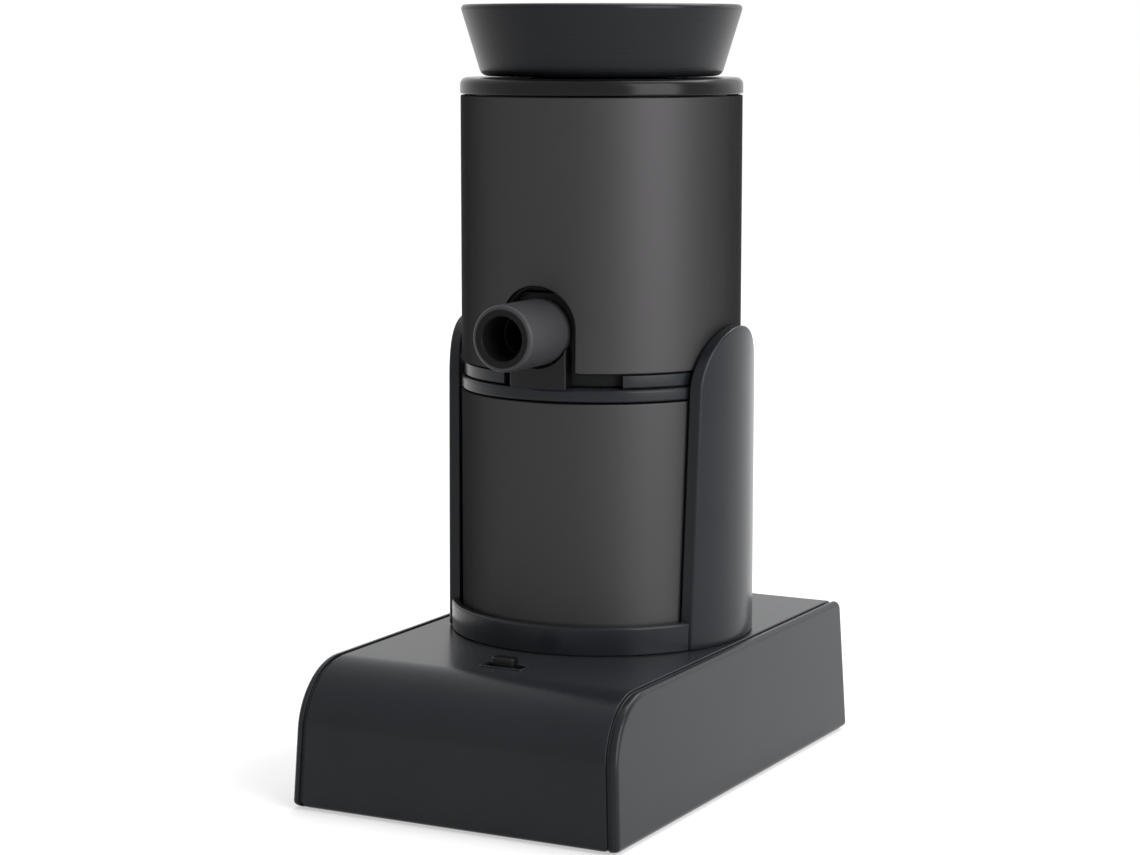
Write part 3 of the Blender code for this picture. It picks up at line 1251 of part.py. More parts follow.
def build_bowl(bowl):
    """Flared burn bowl, the screen on its ledge, and the O-ring round its stem."""
    stem_bottom = BOWL_BOTTOM - STEM_DROP
    floor = BOWL_BOTTOM + BOWL_FLOOR
    slope = (BOWL_RIM_RADIUS - BOWL_FOOT_RADIUS) / BOWL_HEIGHT
    groove_inner = STEM_RADIUS - 2.0 * SEAL_RADIUS - CLEARANCE
    seal_z = stem_bottom + SEAL_HEIGHT
    groove_half = SEAL_RADIUS + CLEARANCE
    profile = [
        (BOWL_RIM_RADIUS - BOWL_WALL, RIM_TOP), (BOWL_RIM_RADIUS - BOWL_EDGE, RIM_TOP),
        (BOWL_RIM_RADIUS, RIM_TOP - BOWL_EDGE),
        (BOWL_FOOT_RADIUS + slope * BOWL_EDGE, BOWL_BOTTOM + BOWL_EDGE),
        (BOWL_FOOT_RADIUS - BOWL_EDGE, BOWL_BOTTOM),
        (STEM_RADIUS, BOWL_BOTTOM), (STEM_RADIUS, seal_z + groove_half), (groove_inner, seal_z + groove_half),
        (groove_inner, seal_z - groove_half), (STEM_RADIUS, seal_z - groove_half),
        (STEM_RADIUS, stem_bottom), (LEDGE_RADIUS, stem_bottom),
        (LEDGE_RADIUS, stem_bottom + LEDGE_HEIGHT), (STEM_BORE_RADIUS, stem_bottom + LEDGE_HEIGHT),
        (STEM_BORE_RADIUS, floor),
    ]
    piece("burn_bowl", turned(profile, LARGE_FACETS), "black_coated_metal", bowl)
    screen_bottom = stem_bottom + LEDGE_HEIGHT + CLEARANCE
    screen_top = screen_bottom + SCREEN_THICKNESS
    screen_radius = STEM_BORE_RADIUS - CLEARANCE
    reach = int(screen_radius / SCREEN_PITCH) + 1
    lattice = [
        (SCREEN_PITCH * (i + 0.5 * j), SCREEN_PITCH * math.sqrt(0.75) * j)
        for i in range(-2 * reach, 2 * reach + 1) for j in range(-reach, reach + 1)
    ]
    inside = LEDGE_RADIUS - SCREEN_HOLE_RADIUS - CLEARANCE
    holes = [
        rod(SCREEN_HOLE_RADIUS, "Z", screen_bottom - OVERCUT, screen_top + OVERCUT, place, 2 * ARC_FACETS)
        for place in lattice if math.hypot(*place) < inside
    ]
    piece(
        "mesh_screen",
        turned(
            [(0.0, screen_bottom), (screen_radius, screen_bottom), (screen_radius, screen_top),
             (0.0, screen_top)],
            MIDDLE_FACETS,
        ),
        "steel", bowl, [("DIFFERENCE", together(*holes))],
    )
    ring_radius = groove_inner + CLEARANCE + SEAL_RADIUS
    piece(
        "bowl_seal",
        turned(arc((ring_radius, seal_z), SEAL_RADIUS, 0.0, 360.0, 2 * ARC_FACETS)[:-1], MIDDLE_FACETS),
        "black_rubber", bowl,
    )


def smooth_route(route):
    """Points about one step apart on a Catmull-Rom curve through a route's own points."""
    knots = np.array([route[0], *route, route[-1]])
    points = [knots[0]]
    for i in range(1, len(knots) - 2):
        before, start, end, after = knots[i - 1:i + 3]
        steps = max(2, int(round(np.linalg.norm(end - start) / LEAD_STEP)))
        for t in np.linspace(0.0, 1.0, steps + 1)[1:]:
            points.append(0.5 * (
                2.0 * start + (end - before) * t
                + (2.0 * before - 5.0 * start + 4.0 * end - after) * t ** 2
                + (3.0 * start - before - 3.0 * end + after) * t ** 3
            ))
    return [tuple(point) for point in points]


def build_leads(stand, handset):
    """Leads from the cells to the switch and the studs, and from the leaves to the motor."""
    switch_under = DECK_UNDER - CLEARANCE - SWITCH_BODY_HEIGHT - CLEARANCE
    tail = DECK_UNDER - CLEARANCE - STUD_HEAD_HEIGHT - STUD_TAIL - CLEARANCE
    above_bay = 0.5 * (BAY_TOP + tail)
    plate_y = FRONT_CONTACT_Y - CONTACT_THICKNESS - CLEARANCE
    out = BAY_FRONT - LEAD_AHEAD
    ahead = out - LEAD_AHEAD
    first, last = cell_place(0), cell_place(CELL_COUNT - 1)
    side = LEAD_SIDE
    stud_y = [y + BODY_OFFSET for _, y in stud_places()]
    routes = {
        "lead_cells_to_switch": ("red_lead", [
            (first, plate_y, BORE_Z), (first, out, BORE_Z), (first, ahead, BORE_Z),
            (0.5 * first, 0.5 * (ahead - SWITCH_FRONT), BORE_Z),
            (SLOT_CENTRE - side, -SWITCH_FRONT, switch_under - LEAD_DROP),
            (SLOT_CENTRE - side, -SWITCH_FRONT, switch_under),
        ]),
        "lead_switch_to_stud": ("red_lead", [
            (SLOT_CENTRE + side, -SWITCH_FRONT, switch_under),
            (SLOT_CENTRE + side, -SWITCH_FRONT, switch_under - LEAD_DROP),
            (SLOT_CENTRE + side, 0.5 * (ahead - SWITCH_FRONT), BORE_Z),
            (0.5 * side, ahead, above_bay),
            (0.0, 0.5 * (BAY_FRONT + stud_y[1]), above_bay), (0.0, stud_y[1], above_bay),
            (0.0, stud_y[1], tail),
        ]),
        "lead_cells_to_stud": ("black_lead", [
            (last, plate_y, BORE_Z), (last, out, BORE_Z), (last, ahead, BORE_Z),
            (last, ahead, above_bay), (last, 0.5 * stud_y[0], above_bay),
            (0.5 * last, stud_y[0], above_bay), (0.0, stud_y[0], above_bay), (0.0, stud_y[0], tail),
        ]),
    }
    for name, (finish, route) in routes.items():
        tube(name, smooth_route(route), LEAD_RADIUS, 8, finish, stand)
    leaf_top = FLOOR_TOP + LEAF_TAIL + CLEARANCE
    bell = BELL_BOTTOM - CLEARANCE
    ends = zip(leaf_tails(), (MOTOR_LEAD_SIDE, -MOTOR_LEAD_SIDE))
    names = (("motor_lead_positive", "red_lead"), ("motor_lead_negative", "black_lead"))
    for (name, finish), (y, terminal) in zip(names, ends):
        tail_y = y - 0.5 * LEAF_THICKNESS
        route = [
            (0.0, tail_y, leaf_top + LEAD_RADIUS), (terminal, tail_y, 0.5 * (leaf_top + bell)),
            (terminal, tail_y, bell),
        ]
        tube(name, smooth_route(route), LEAD_RADIUS, 8, finish, handset)


def main():
    """Build every piece on the frame of the body that carries it."""
    remove_scene_objects()
    stand = frame("stand_frame", (0.0, 0.0, 0.0))
    seat = frame("cradle_frame", (0.0, BODY_OFFSET, 0.0), stand)
    door = frame("door_frame", (0.0, HINGE_Y, HINGE_Z), stand)
    knob = frame("knob_frame", (SLOT_CENTRE, -SWITCH_FRONT, DECK_TOP), stand)
    handset = frame("handset_frame", (0.0, BODY_OFFSET, 0.0), stand)
    rotor = frame("rotor_frame", (0.0, 0.0, 0.0), handset)
    nozzle = frame("nozzle_frame", (0.0, 0.0, NOZZLE_Z), handset)
    barrel = frame("barrel_frame", (0.0, 0.0, 0.0), handset)
    bowl = frame("bowl_frame", (0.0, 0.0, 0.0), barrel)
    build_stand_shell(stand)
    build_bottom_plate(stand)
    build_cradle(seat)
    lug_places = build_battery_bay(stand)
    build_cells(stand)
    build_cell_contacts(stand, door)
    build_battery_door(stand, door, lug_places)
    build_switch(stand, knob)
    build_lower_handset(handset)
    build_motor(handset, rotor)
    build_coupling_ring(handset)
    build_fan(handset, rotor)
    build_nozzle(nozzle)
    build_barrel(barrel)
    build_bowl(bowl)
    build_leads(stand, handset)


main()
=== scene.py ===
"""Looks of a battery smoke infuser that stands in its powered stand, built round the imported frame.

Lengths are metres.  The front, with the switch and the hose nozzle, faces -Y and +Z is up.
"""

import json
import logging
import math
from dataclasses import dataclass
from enum import Enum
from typing import Any, Optional, Sequence

import bmesh
import bpy
import numpy as np
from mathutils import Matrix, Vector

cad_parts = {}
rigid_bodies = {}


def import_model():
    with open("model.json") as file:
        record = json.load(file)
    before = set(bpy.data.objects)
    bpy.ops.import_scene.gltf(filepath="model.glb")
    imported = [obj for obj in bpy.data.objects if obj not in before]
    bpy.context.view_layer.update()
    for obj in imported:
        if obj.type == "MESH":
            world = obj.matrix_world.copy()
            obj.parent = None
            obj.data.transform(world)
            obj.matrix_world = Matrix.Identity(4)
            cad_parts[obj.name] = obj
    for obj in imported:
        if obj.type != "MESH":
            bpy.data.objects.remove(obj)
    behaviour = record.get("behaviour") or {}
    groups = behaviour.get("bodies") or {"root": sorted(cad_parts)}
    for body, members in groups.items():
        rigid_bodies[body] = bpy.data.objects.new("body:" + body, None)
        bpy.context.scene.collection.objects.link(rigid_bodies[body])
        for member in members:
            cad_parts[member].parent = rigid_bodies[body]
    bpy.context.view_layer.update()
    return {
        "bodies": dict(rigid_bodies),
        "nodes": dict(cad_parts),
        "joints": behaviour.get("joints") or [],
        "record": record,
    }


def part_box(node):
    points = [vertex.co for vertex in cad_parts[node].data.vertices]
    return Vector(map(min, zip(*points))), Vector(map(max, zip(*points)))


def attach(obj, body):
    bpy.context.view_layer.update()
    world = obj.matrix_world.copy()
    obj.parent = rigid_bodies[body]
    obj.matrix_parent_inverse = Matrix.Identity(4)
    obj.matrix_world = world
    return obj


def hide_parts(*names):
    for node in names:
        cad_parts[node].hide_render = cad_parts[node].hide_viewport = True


MM = 0.001
TURN = 2.0 * math.pi
QUARTER = 0.5 * math.pi
FORWARD = np.array([0.0, -1.0, 0.0])
UP = np.array([0.0, 0.0, 1.0])
LOG = logging.getLogger("infuser")

# Facets round large, middling, lesser and small pieces.
FINE = 160
MIDDLE = 96
LESSER = 64
SMALL = 40

# Welding distance, and the angles past which an edge stays sharp or is softened.
WELD = 0.002 * MM
SHARP = math.radians(38.0)
SOFTENED = math.radians(40.0)

# Noise and bump of every finish.
GRAIN_DETAIL = 3.0
GRAIN_ROUGHNESS = 0.6
CLOUD_DETAIL = 2.0
BUMP_STRENGTH = 0.6
COAT_ROUGHNESS = 0.12

# Draft of the stand's upright faces: inward for each unit of height.
DRAFT = 0.047

Corner = tuple[float, ...]
Axis = tuple[float, float]


def linear(hex_colour: str) -> tuple[float, float, float, float]:
    """Turn an sRGB hex colour into linear light.

    Args:
        hex_colour: Six hex digits.
    Returns:
        Linear red, green, blue and a full alpha.
    """
    srgb = np.array([int(hex_colour[i:i + 2], 16) for i in (0, 2, 4)]) / 255.0
    light = np.where(srgb <= 0.04045, srgb / 12.92, ((srgb + 0.055) / 1.055) ** 2.4)
    return (*light.tolist(), 1.0)


def connect(tree: bpy.types.NodeTree, node: bpy.types.Node, inputs: dict[Any, Any]) -> None:
    """Set a node's inputs, and link those whose value is another node's output.

    Args:
        tree: Node tree that the node is in.
        node: The node.
        inputs: Value, or output socket to link, for each input by name or number.
    """
    for key, value in inputs.items():
        if isinstance(value, bpy.types.NodeSocket):
            tree.links.new(value, node.inputs[key])
        else:
            node.inputs[key].default_value = value


def add(tree: bpy.types.NodeTree, kind: str, inputs: dict[Any, Any], **settings: Any) -> bpy.types.Node:
    """Add one node with its settings and inputs.

    Args:
        tree: Node tree that takes the node.
        kind: Blender's type name of the node, without its common start.
        inputs: What connect takes for its inputs.
        settings: Properties of the node.
    Returns:
        The new node.
    """
    node = tree.nodes.new("ShaderNode" + kind)
    for key, value in settings.items():
        setattr(node, key, value)
    connect(tree, node, inputs)
    return node


class Pattern(Enum):
    """How a surface was made: how far its pattern is drawn out along X, Y and Z."""

    MOULDED = (1.0, 1.0, 1.0)
    DRAWN = (1.0, 1.0, 0.04)
    TURNED = (0.05, 0.05, 1.0)
    WOUND = (0.15, 0.15, 1.0)


@dataclass(frozen=True)
class Finish:
    """One real material and how its surface was made.

    The pattern is a noise of the given grain, drawn out as the pattern says.  It mixes a little of the
    second colour in, moves the roughness and lifts the surface by the relief.
    """

    name: str
    colour: str
    second: str
    roughness: float
    spread: float = 0.06
    metallic: float = 0.0
    specular: float = 0.5
    edge_tint: float = 1.0
    sheen: float = 0.0
    coat: float = 0.0
    pattern: Pattern = Pattern.MOULDED
    grain: float = 0.5 * MM
    relief: float = 0.02 * MM
    patch: float = 18.0 * MM

    def material(self) -> bpy.types.Material:
        """Build the finish as a node material.

        Returns:
            The material, made once for each name.
        """
        if self.name in bpy.data.materials:
            return bpy.data.materials[self.name]
        material = bpy.data.materials.new(self.name)
        material.use_nodes = True
        tree = material.node_tree
        spot = add(tree, "TexCoord", {}).outputs["Object"]
        drawn = add(tree, "Mapping", {"Vector": spot, "Scale": self.pattern.value}).outputs[0]
        noise = {"Scale": 1.0 / self.grain, "Detail": GRAIN_DETAIL, "Roughness": GRAIN_ROUGHNESS}
        grain = add(tree, "TexNoise", {"Vector": drawn, **noise}).outputs[0]
        cloud = add(tree, "TexNoise", {"Vector": spot, "Scale": 1.0 / self.patch, "Detail": CLOUD_DETAIL})
        both = add(tree, "Math", {0: grain, 1: cloud.outputs[0]}, operation="MULTIPLY")
        colours = {0: both.outputs[0], 6: linear(self.colour), 7: linear(self.second)}
        rough = {0: grain, 3: self.roughness - self.spread, 4: self.roughness + self.spread}
        bump = {"Height": grain, "Distance": self.relief, "Strength": BUMP_STRENGTH}
        connect(tree, tree.nodes["Principled BSDF"], {
            "Base Color": add(tree, "Mix", colours, data_type="RGBA").outputs[2],
            "Roughness": add(tree, "MapRange", rough).outputs[0],
            "Normal": add(tree, "Bump", bump).outputs[0],
            "Metallic": self.metallic,
            "Specular IOR Level": self.specular,
            "Specular Tint": (self.edge_tint, self.edge_tint, self.edge_tint, 1.0),
            "Sheen Weight": self.sheen,
            "Coat Weight": self.coat,
            "Coat Roughness": COAT_ROUGHNESS,
        })
        return material


# Spark-eroded mould: a bluish black with very fine pits that spread the light.  Real pits are 0.05 mm
# across; they are drawn at 0.5 mm so that they show.  The fine marks of the other finishes are drawn
# coarser than they are for the same reason.
MOULDED_ABS = Finish(
    "moulded_abs", "15171b", "22262c", 0.25, 0.045, specular=0.18, sheen=0.02, grain=0.5 * MM,
    relief=0.011 * MM,
)
# The same plastic inside, duller and without much reflection.
INNER_ABS = Finish("inner_moulded_abs", "151617", "1c1d1e", 0.5, 0.05, specular=0.12, grain=0.6 * MM)
# Polished mould: nearly smooth, with clean narrow reflections.
POLISHED_ABS = Finish(
    "polished_abs", "0b0b0d", "111113", 0.22, 0.03, specular=0.18, grain=0.8 * MM, relief=0.004 * MM
)
# Drawn tube, grit blasted and dyed grey: satin, with a broad soft highlight and faint drawing lines.
ANODISED = Finish(
    "anodised_aluminium", "3b3a3b", "424142", 0.52, 0.05, metallic=1.0, edge_tint=0.3,
    pattern=Pattern.DRAWN, grain=0.4 * MM, relief=0.006 * MM, patch=40.0 * MM,
)
# Stove coating on a turned bowl: satin black with turning marks that hardly show.
COATED_BOWL = Finish(
    "stove_coated_steel", "17181b", "1f2124", 0.28, 0.02, specular=0.16, pattern=Pattern.TURNED,
    grain=0.5 * MM, relief=0.002 * MM,
)
# Moulded silicone rubber: soft black with a dusty look and no sharp reflections.
RUBBER = Finish("silicone_rubber", "333336", "404043", 0.42, 0.05, specular=0.22, grain=0.5 * MM)
# The same rubber on the nozzle's front face, darker: painted shade, for a face that lies out of the lamps'
# light.
FRONT_FACE_SHADE_RUBBER = Finish("rubbed_rubber", "121213", "19191a", 0.45, 0.05, specular=0.1, grain=0.5 * MM)
# The same rubber in the bore, darker still: painted shade in the bore, where nearly no light comes back.
BORE_SHADE_RUBBER = Finish("smoked_rubber", "131313", "191919", 0.7, 0.05, specular=0.02, grain=0.5 * MM)
# Nickel plated spring steel and pressed steel: bright, with fine lines along the way it was drawn.
NICKEL = Finish(
    "nickel_plated_steel", "a4a6a8", "bdbfc1", 0.26, 0.06, metallic=1.0, pattern=Pattern.DRAWN,
    grain=0.25 * MM, relief=0.004 * MM,
)
# Plain turned brass, a little dulled: a soft yellow with faint rings.
BRASS = Finish(
    "turned_brass", "a9863f", "c4a25a", 0.3, 0.06, metallic=1.0, pattern=Pattern.TURNED, grain=0.3 * MM,
    relief=0.004 * MM,
)
# Pressed and fired magnet: dark grey and grainy.
FERRITE = Finish("sintered_ferrite", "2e2e30", "454548", 0.6, 0.08, specular=0.4, grain=0.4 * MM)
# Enamelled wire, wound in layers 0.4 mm apart: shiny copper red with fine ridges.
WINDING = Finish(
    "enamelled_copper_winding", "8a4a20", "c27a40", 0.32, 0.08, metallic=0.9, pattern=Pattern.WOUND,
    grain=0.4 * MM, relief=0.1 * MM,
)
# Printed shrink film on a cell: two plain colours, smooth.
JACKET = Finish("shrink_film", "1f5a48", "276a55", 0.28, 0.05, specular=0.5, coat=0.3, relief=0.004 * MM)
JACKET_BAND = Finish("shrink_film_band", "b98a3a", "c99b4c", 0.28, 0.05, metallic=0.6, relief=0.004 * MM)
# Insulation of thin leads: smooth and a little waxy.
RED_PVC = Finish("red_pvc", "8a1d18", "9c2a22", 0.42, 0.05, relief=0.006 * MM)
BLACK_PVC = Finish("black_pvc", "151516", "1f1f20", 0.42, 0.05, relief=0.006 * MM)


@dataclass
class Patch:
    """A surface on a grid of points, rows by columns by three.

    A ring joins its last column to its first, and a loop its last row to its first.  Where keep is given,
    only the faces that it marks are made.
    """

    points: np.ndarray
    ring: bool = False
    loop: bool = False
    keep: Optional[np.ndarray] = None
    slot: int = 0

    def quads(self) -> np.ndarray:
        """Number the quads between neighbouring rows and columns.

        Returns:
            One row of four point numbers for each face that is kept.
        """
        rows, columns = self.points.shape[:2]
        row, column = np.meshgrid(
            np.arange(rows if self.loop else rows - 1),
            np.arange(columns if self.ring else columns - 1), indexing="ij",
        )
        next_row, next_column = (row + 1) % rows, (column + 1) % columns
        quads = np.stack(
            [row * columns + column, row * columns + next_column,
             next_row * columns + next_column, next_row * columns + column], axis=-1,
        )
        return quads[self.keep] if self.keep is not None else quads.reshape(-1, 4)


def skin(name: str, patches: Sequence[Patch], finishes: Sequence[Finish]) -> bpy.types.Object:
    """Make one object from patches that share their edges.

    Args:
        name: Name of the piece.
        patches: Surfaces of the piece.
        finishes: Finish of each material slot.
    Returns:
        The object, welded, facing out and shaded smooth.
    """
    counts = [patch.points.shape[0] * patch.points.shape[1] for patch in patches]
    starts = np.concatenate([[0], np.cumsum(counts)[:-1]])
    points = np.concatenate([patch.points.reshape(-1, 3) for patch in patches])
    quads = [patch.quads() + start for patch, start in zip(patches, starts)]
    slots = np.concatenate([np.full(len(part), patch.slot) for part, patch in zip(quads, patches)])
    mesh = bpy.data.meshes.new(name)
    mesh.from_pydata(points.tolist(), [], np.concatenate(quads).tolist())
    mesh.polygons.foreach_set("material_index", slots.astype(np.int32))
    return finished(name, mesh, finishes)


def finished(name: str, mesh: bpy.types.Mesh, finishes: Sequence[Finish]) -> bpy.types.Object:
    """Weld a mesh, turn its faces out, shade it and give it its finishes.

    Args:
        name: Name of the piece.
        mesh: Mesh in its place in the frame.
        finishes: Finish of each material slot.
    Returns:
        The object.
    """
    work = bmesh.new()
    work.from_mesh(mesh)
    bmesh.ops.remove_doubles(work, verts=work.verts, dist=WELD)
    bmesh.ops.recalc_face_normals(work, faces=work.faces)
    work.to_mesh(mesh)
    work.free()
    mesh.shade_smooth()
    mesh.set_sharp_from_angle(angle=SHARP)
    if mesh.materials:
        mesh.materials.clear()
    for finish in finishes:
        mesh.materials.append(finish.material())
    item = bpy.data.objects.new(name, mesh)
    bpy.context.collection.objects.link(item)
    return item


def rounded(corners: Sequence[Corner], steps: int = 6) -> np.ndarray:
    """Lay a path through corners and round each by its radius.

    At a corner the arc's centre lies on the bisector, and its points turn evenly from one tangent point
    to the other.

    Args:
        corners: Two coordinates of each corner, and a radius where it is rounded.
        steps: Facets of each arc.
    Returns:
        Points of the path, one a row.
    """
    spots = np.array([corner[:2] for corner in corners])
    share = np.linspace(0.0, 1.0, steps + 1)[:, None]
    path = [spots[:1]]
    for before, spot, after, corner in zip(spots, spots[1:], spots[2:], corners[1:-1]):
        if len(corner) == 2:
            path.append(spot[None])
            continue
        radius = corner[2]
        back = (before - spot) / np.linalg.norm(before - spot)
        ahead = (after - spot) / np.linalg.norm(after - spot)
        half = 0.5 * math.acos(float(np.clip(back @ ahead, -1.0, 1.0)))
        centre = spot + (back + ahead) / np.linalg.norm(back + ahead) * radius / math.sin(half)
        first = spot + back * radius / math.tan(half) - centre
        last = spot + ahead * radius / math.tan(half) - centre
        turn = math.pi - 2.0 * half
        arc = np.sin((1.0 - share) * turn) * first + np.sin(share * turn) * last
        path.append(centre + arc / math.sin(turn))
    return np.concatenate([*path, spots[-1:]])


def band(
    first: float, second: float, low: float, high: float, rounding: Sequence[float], steps: int = 6
) -> np.ndarray:
    """Lay the section of a plain ring: a rectangle with rounded corners.

    Args:
        first: Radius of the side where the section starts and ends, at half its height.
        second: Radius of the other side.
        low: Height of the underside.
        high: Height of the top.
        rounding: Radius of each corner: first side's top, second side's top and bottom, first's bottom.
        steps: Facets of each arc.
    Returns:
        Radius and height of each point.
    """
    end = (first, 0.5 * (low + high))
    corners = zip((first, second, second, first), (high, high, low, low), rounding)
    return rounded([end, *corners, end], steps)


def grid(*parts: Any) -> np.ndarray:
    """Stack coordinates that broadcast together on a new last axis."""
    return np.stack(np.broadcast_arrays(*parts), axis=-1)


def about(centre: Axis, radius: np.ndarray, angle: np.ndarray, height: np.ndarray) -> np.ndarray:
    """Points at radii, angles and heights about an upright axis, for arrays that broadcast together."""
    return grid(centre[0] + radius * np.cos(angle), centre[1] + radius * np.sin(angle), height)


def spun(profile: np.ndarray, centre: Axis, count: int, slot: int = 0, closed: bool = False) -> Patch:
    """Turn a profile of radius and height about an upright axis.

    Args:
        profile: Radius and height of each point.
        centre: X and Y of the axis.
        count: Facets round the axis.
        slot: Material slot.
        closed: Whether the profile's last point joins its first.
    Returns:
        The surface: radius times cosine and sine of the angle beside the axis, at each height.
    """
    angle = np.linspace(0.0, TURN, count, endpoint=False)
    return Patch(about(centre, profile[:, :1], angle, profile[:, 1:]), ring=True, loop=closed, slot=slot)


def swung(
    profile: np.ndarray, start: Sequence[float], forward: np.ndarray, count: int, slot: int = 0
) -> Patch:
    """Turn a profile about a level axis.

    Args:
        profile: Radius and distance along the axis of each point.
        start: Point where the distance is 0.
        forward: Unit direction of the axis.
        count: Facets round the axis.
        slot: Material slot.
    Returns:
        The surface: each distance runs forward, and each radius lies across.
    """
    patch = spun(profile, (0.0, 0.0), count, slot)
    patch.points = patch.points @ np.stack([np.cross(UP, forward), UP, forward]) + np.asarray(start)
    return patch


def fan(edge: np.ndarray, ring: bool = True, slot: int = 0) -> Patch:
    """Close an outline with triangles to its middle."""
    return Patch(np.stack([edge, np.broadcast_to(edge.mean(axis=0), edge.shape)]), ring=ring, slot=slot)


def between(face: np.ndarray, back: np.ndarray) -> list[Patch]:
    """Close the space between two grids of points with walls along their four edges."""
    edges = ((0, slice(None)), (-1, slice(None)), (slice(None), 0), (slice(None), -1))
    return [Patch(face), Patch(back), *(Patch(np.stack([face[edge], back[edge]])) for edge in edges)]


def wire(path: np.ndarray, radius: float, sides: int = 10) -> list[Patch]:
    """Carry a circle along a path, with a closed end at both ends.

    Args:
        path: Points of the path.
        radius: Radius of the wire.
        sides: Facets round the wire.
    Returns:
        The side surface, each ring square to the path's own direction, and the two end fans.
    """
    along = np.gradient(path, axis=0)
    along /= np.linalg.norm(along, axis=1, keepdims=True)
    reference = np.eye(3)[int(np.argmin(np.abs(along).mean(axis=0)))]
    across = np.cross(along, reference)
    across /= np.linalg.norm(across, axis=1, keepdims=True)
    up = np.cross(across, along)
    angle = np.linspace(0.0, TURN, sides, endpoint=False)[None, :, None]
    side = path[:, None] + radius * (np.cos(angle) * across[:, None] + np.sin(angle) * up[:, None])
    return [Patch(side, ring=True), fan(side[0]), fan(side[-1])]


class Solid:
    """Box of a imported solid: its six sides, its upright axis, middle height, radius and length."""

    def __init__(self, node: str) -> None:
        """Measure the solid.

        Args:
            node: Its name in the frame.
        """
        (self.left, self.front, self.bottom), (self.right, self.rear, self.top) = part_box(node)
        self.axis = (0.5 * (self.left + self.right), 0.5 * (self.front + self.rear))
        self.level = 0.5 * (self.bottom + self.top)
        self.radius = 0.5 * (self.right - self.left)
        self.length = self.rear - self.front


def normals_of(path: np.ndarray, side: float, lap: Axis = (0.0, 0.0)) -> np.ndarray:
    """Work out the normals of a path that closes on itself: its direction, turned by a right angle.

    Args:
        path: Points of the path.
        side: +1 for normals to its left, -1 for its right.
        lap: How far the path's end lies from its start, where it is the flat form of a tube.
    Returns:
        A unit normal for each point.
    """
    along = np.gradient(np.concatenate([path[-1:] - lap, path, path[:1] + lap]), axis=0)[1:-1]
    along /= np.linalg.norm(along, axis=1, keepdims=True)
    return side * grid(-along[:, 1], along[:, 0])


def spaced(path: np.ndarray, step: float) -> np.ndarray:
    """Lay new points on a path, evenly along its run.

    Args:
        path: Points of the path.
        step: Distance that the new points are about apart.
    Returns:
        The new points, with the same ends.
    """
    run = np.concatenate([[0.0], np.cumsum(np.linalg.norm(np.diff(path, axis=0), axis=1))])
    even = np.linspace(0.0, run[-1], int(run[-1] / step) + 2)
    return grid(np.interp(even, run, path[:, 0]), np.interp(even, run, path[:, 1]))


def arched(side: np.ndarray, half: float, centre: float, points: int) -> np.ndarray:
    """Lay a path up a side, over a half circle and down the mirrored side.

    Args:
        side: Points of the side at negative X, up to the circle.
        half: Radius of the circle.
        centre: Height of its centre.
        points: Points on it.
    Returns:
        Points of the path.
    """
    turn = np.linspace(math.pi, 0.0, points)
    crown = grid(half * np.cos(turn), centre + half * np.sin(turn))
    return np.concatenate([side[:-1], crown, side[::-1][1:] * np.array([-1.0, 1.0])])


def edge_arcs(softness: float, wall: float, points: int) -> tuple[np.ndarray, np.ndarray]:
    """Round both edges of a wall's rim by quarter circles.

    A point draws in by the radius times one minus the sine of its turn, and lies as deep as the radius times
    one minus the cosine.

    Args:
        softness: Radius of the rounding.
        wall: Wall thickness.
        points: Points of each quarter circle.
    Returns:
        How far each point draws in from the rim, shaped for rows of flat points, and how deep it lies.
    """
    turn = np.linspace(0.0, QUARTER, points)
    inset = softness * (1.0 - np.sin(turn))
    depth = softness * (1.0 - np.cos(turn))
    fold = np.concatenate([inset, inset[::-1]])[:, None, None]
    return fold, np.concatenate([depth, wall - depth[::-1]])


@dataclass
class Assembly:
    """Pieces that one class builds; each takes its body from the solid that owns it."""

    frame: dict[str, Any]

    def build(self) -> None:
        """Build every piece of the sub-assembly."""
        raise NotImplementedError

    def dress(
        self, owner: str, patches: Sequence[Patch], *finishes: Finish, name: str = "", **how: Any
    ) -> None:
        """Build a piece from patches and show it.

        Args:
            owner: Solid that the piece belongs to.
            patches: Surfaces of the piece.
            finishes: Finish of each material slot of the mesh.
            name: Name of the piece, if it isn't the solid's own skin.
            how: What show takes besides.
        """
        self.show(skin(name or owner + "_skin", patches, finishes), owner, **how)

    def show(
        self, item: bpy.types.Object, owner: str, hides: bool = True, edge: float = 0.0, even: bool = True
    ) -> None:
        """Finish a piece's edges and let it ride with the solid that owns it.

        Args:
            item: The piece.
            owner: Solid that it belongs to.
            hides: Whether it stands for that solid.
            edge: Width by which its sharp edges are rounded, or 0.
            even: Whether broad faces stay flat in the light beside small rounded edges.
        """
        if edge > 0.0:
            bevel = item.modifiers.new("soft_edge", "BEVEL")
            bevel.width = edge
            bevel.segments = 2
            bevel.angle_limit = SOFTENED
            bevel.harden_normals = True
        if even:
            item.modifiers.new("even_shading", "WEIGHTED_NORMAL").keep_sharp = True
        record = self.frame["record"]
        body = next(body for body, nodes in record["behaviour"]["bodies"].items() if owner in nodes)
        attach(item, body)
        if hides:
            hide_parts(owner)
        LOG.info("%s rides on %s", item.name, body)


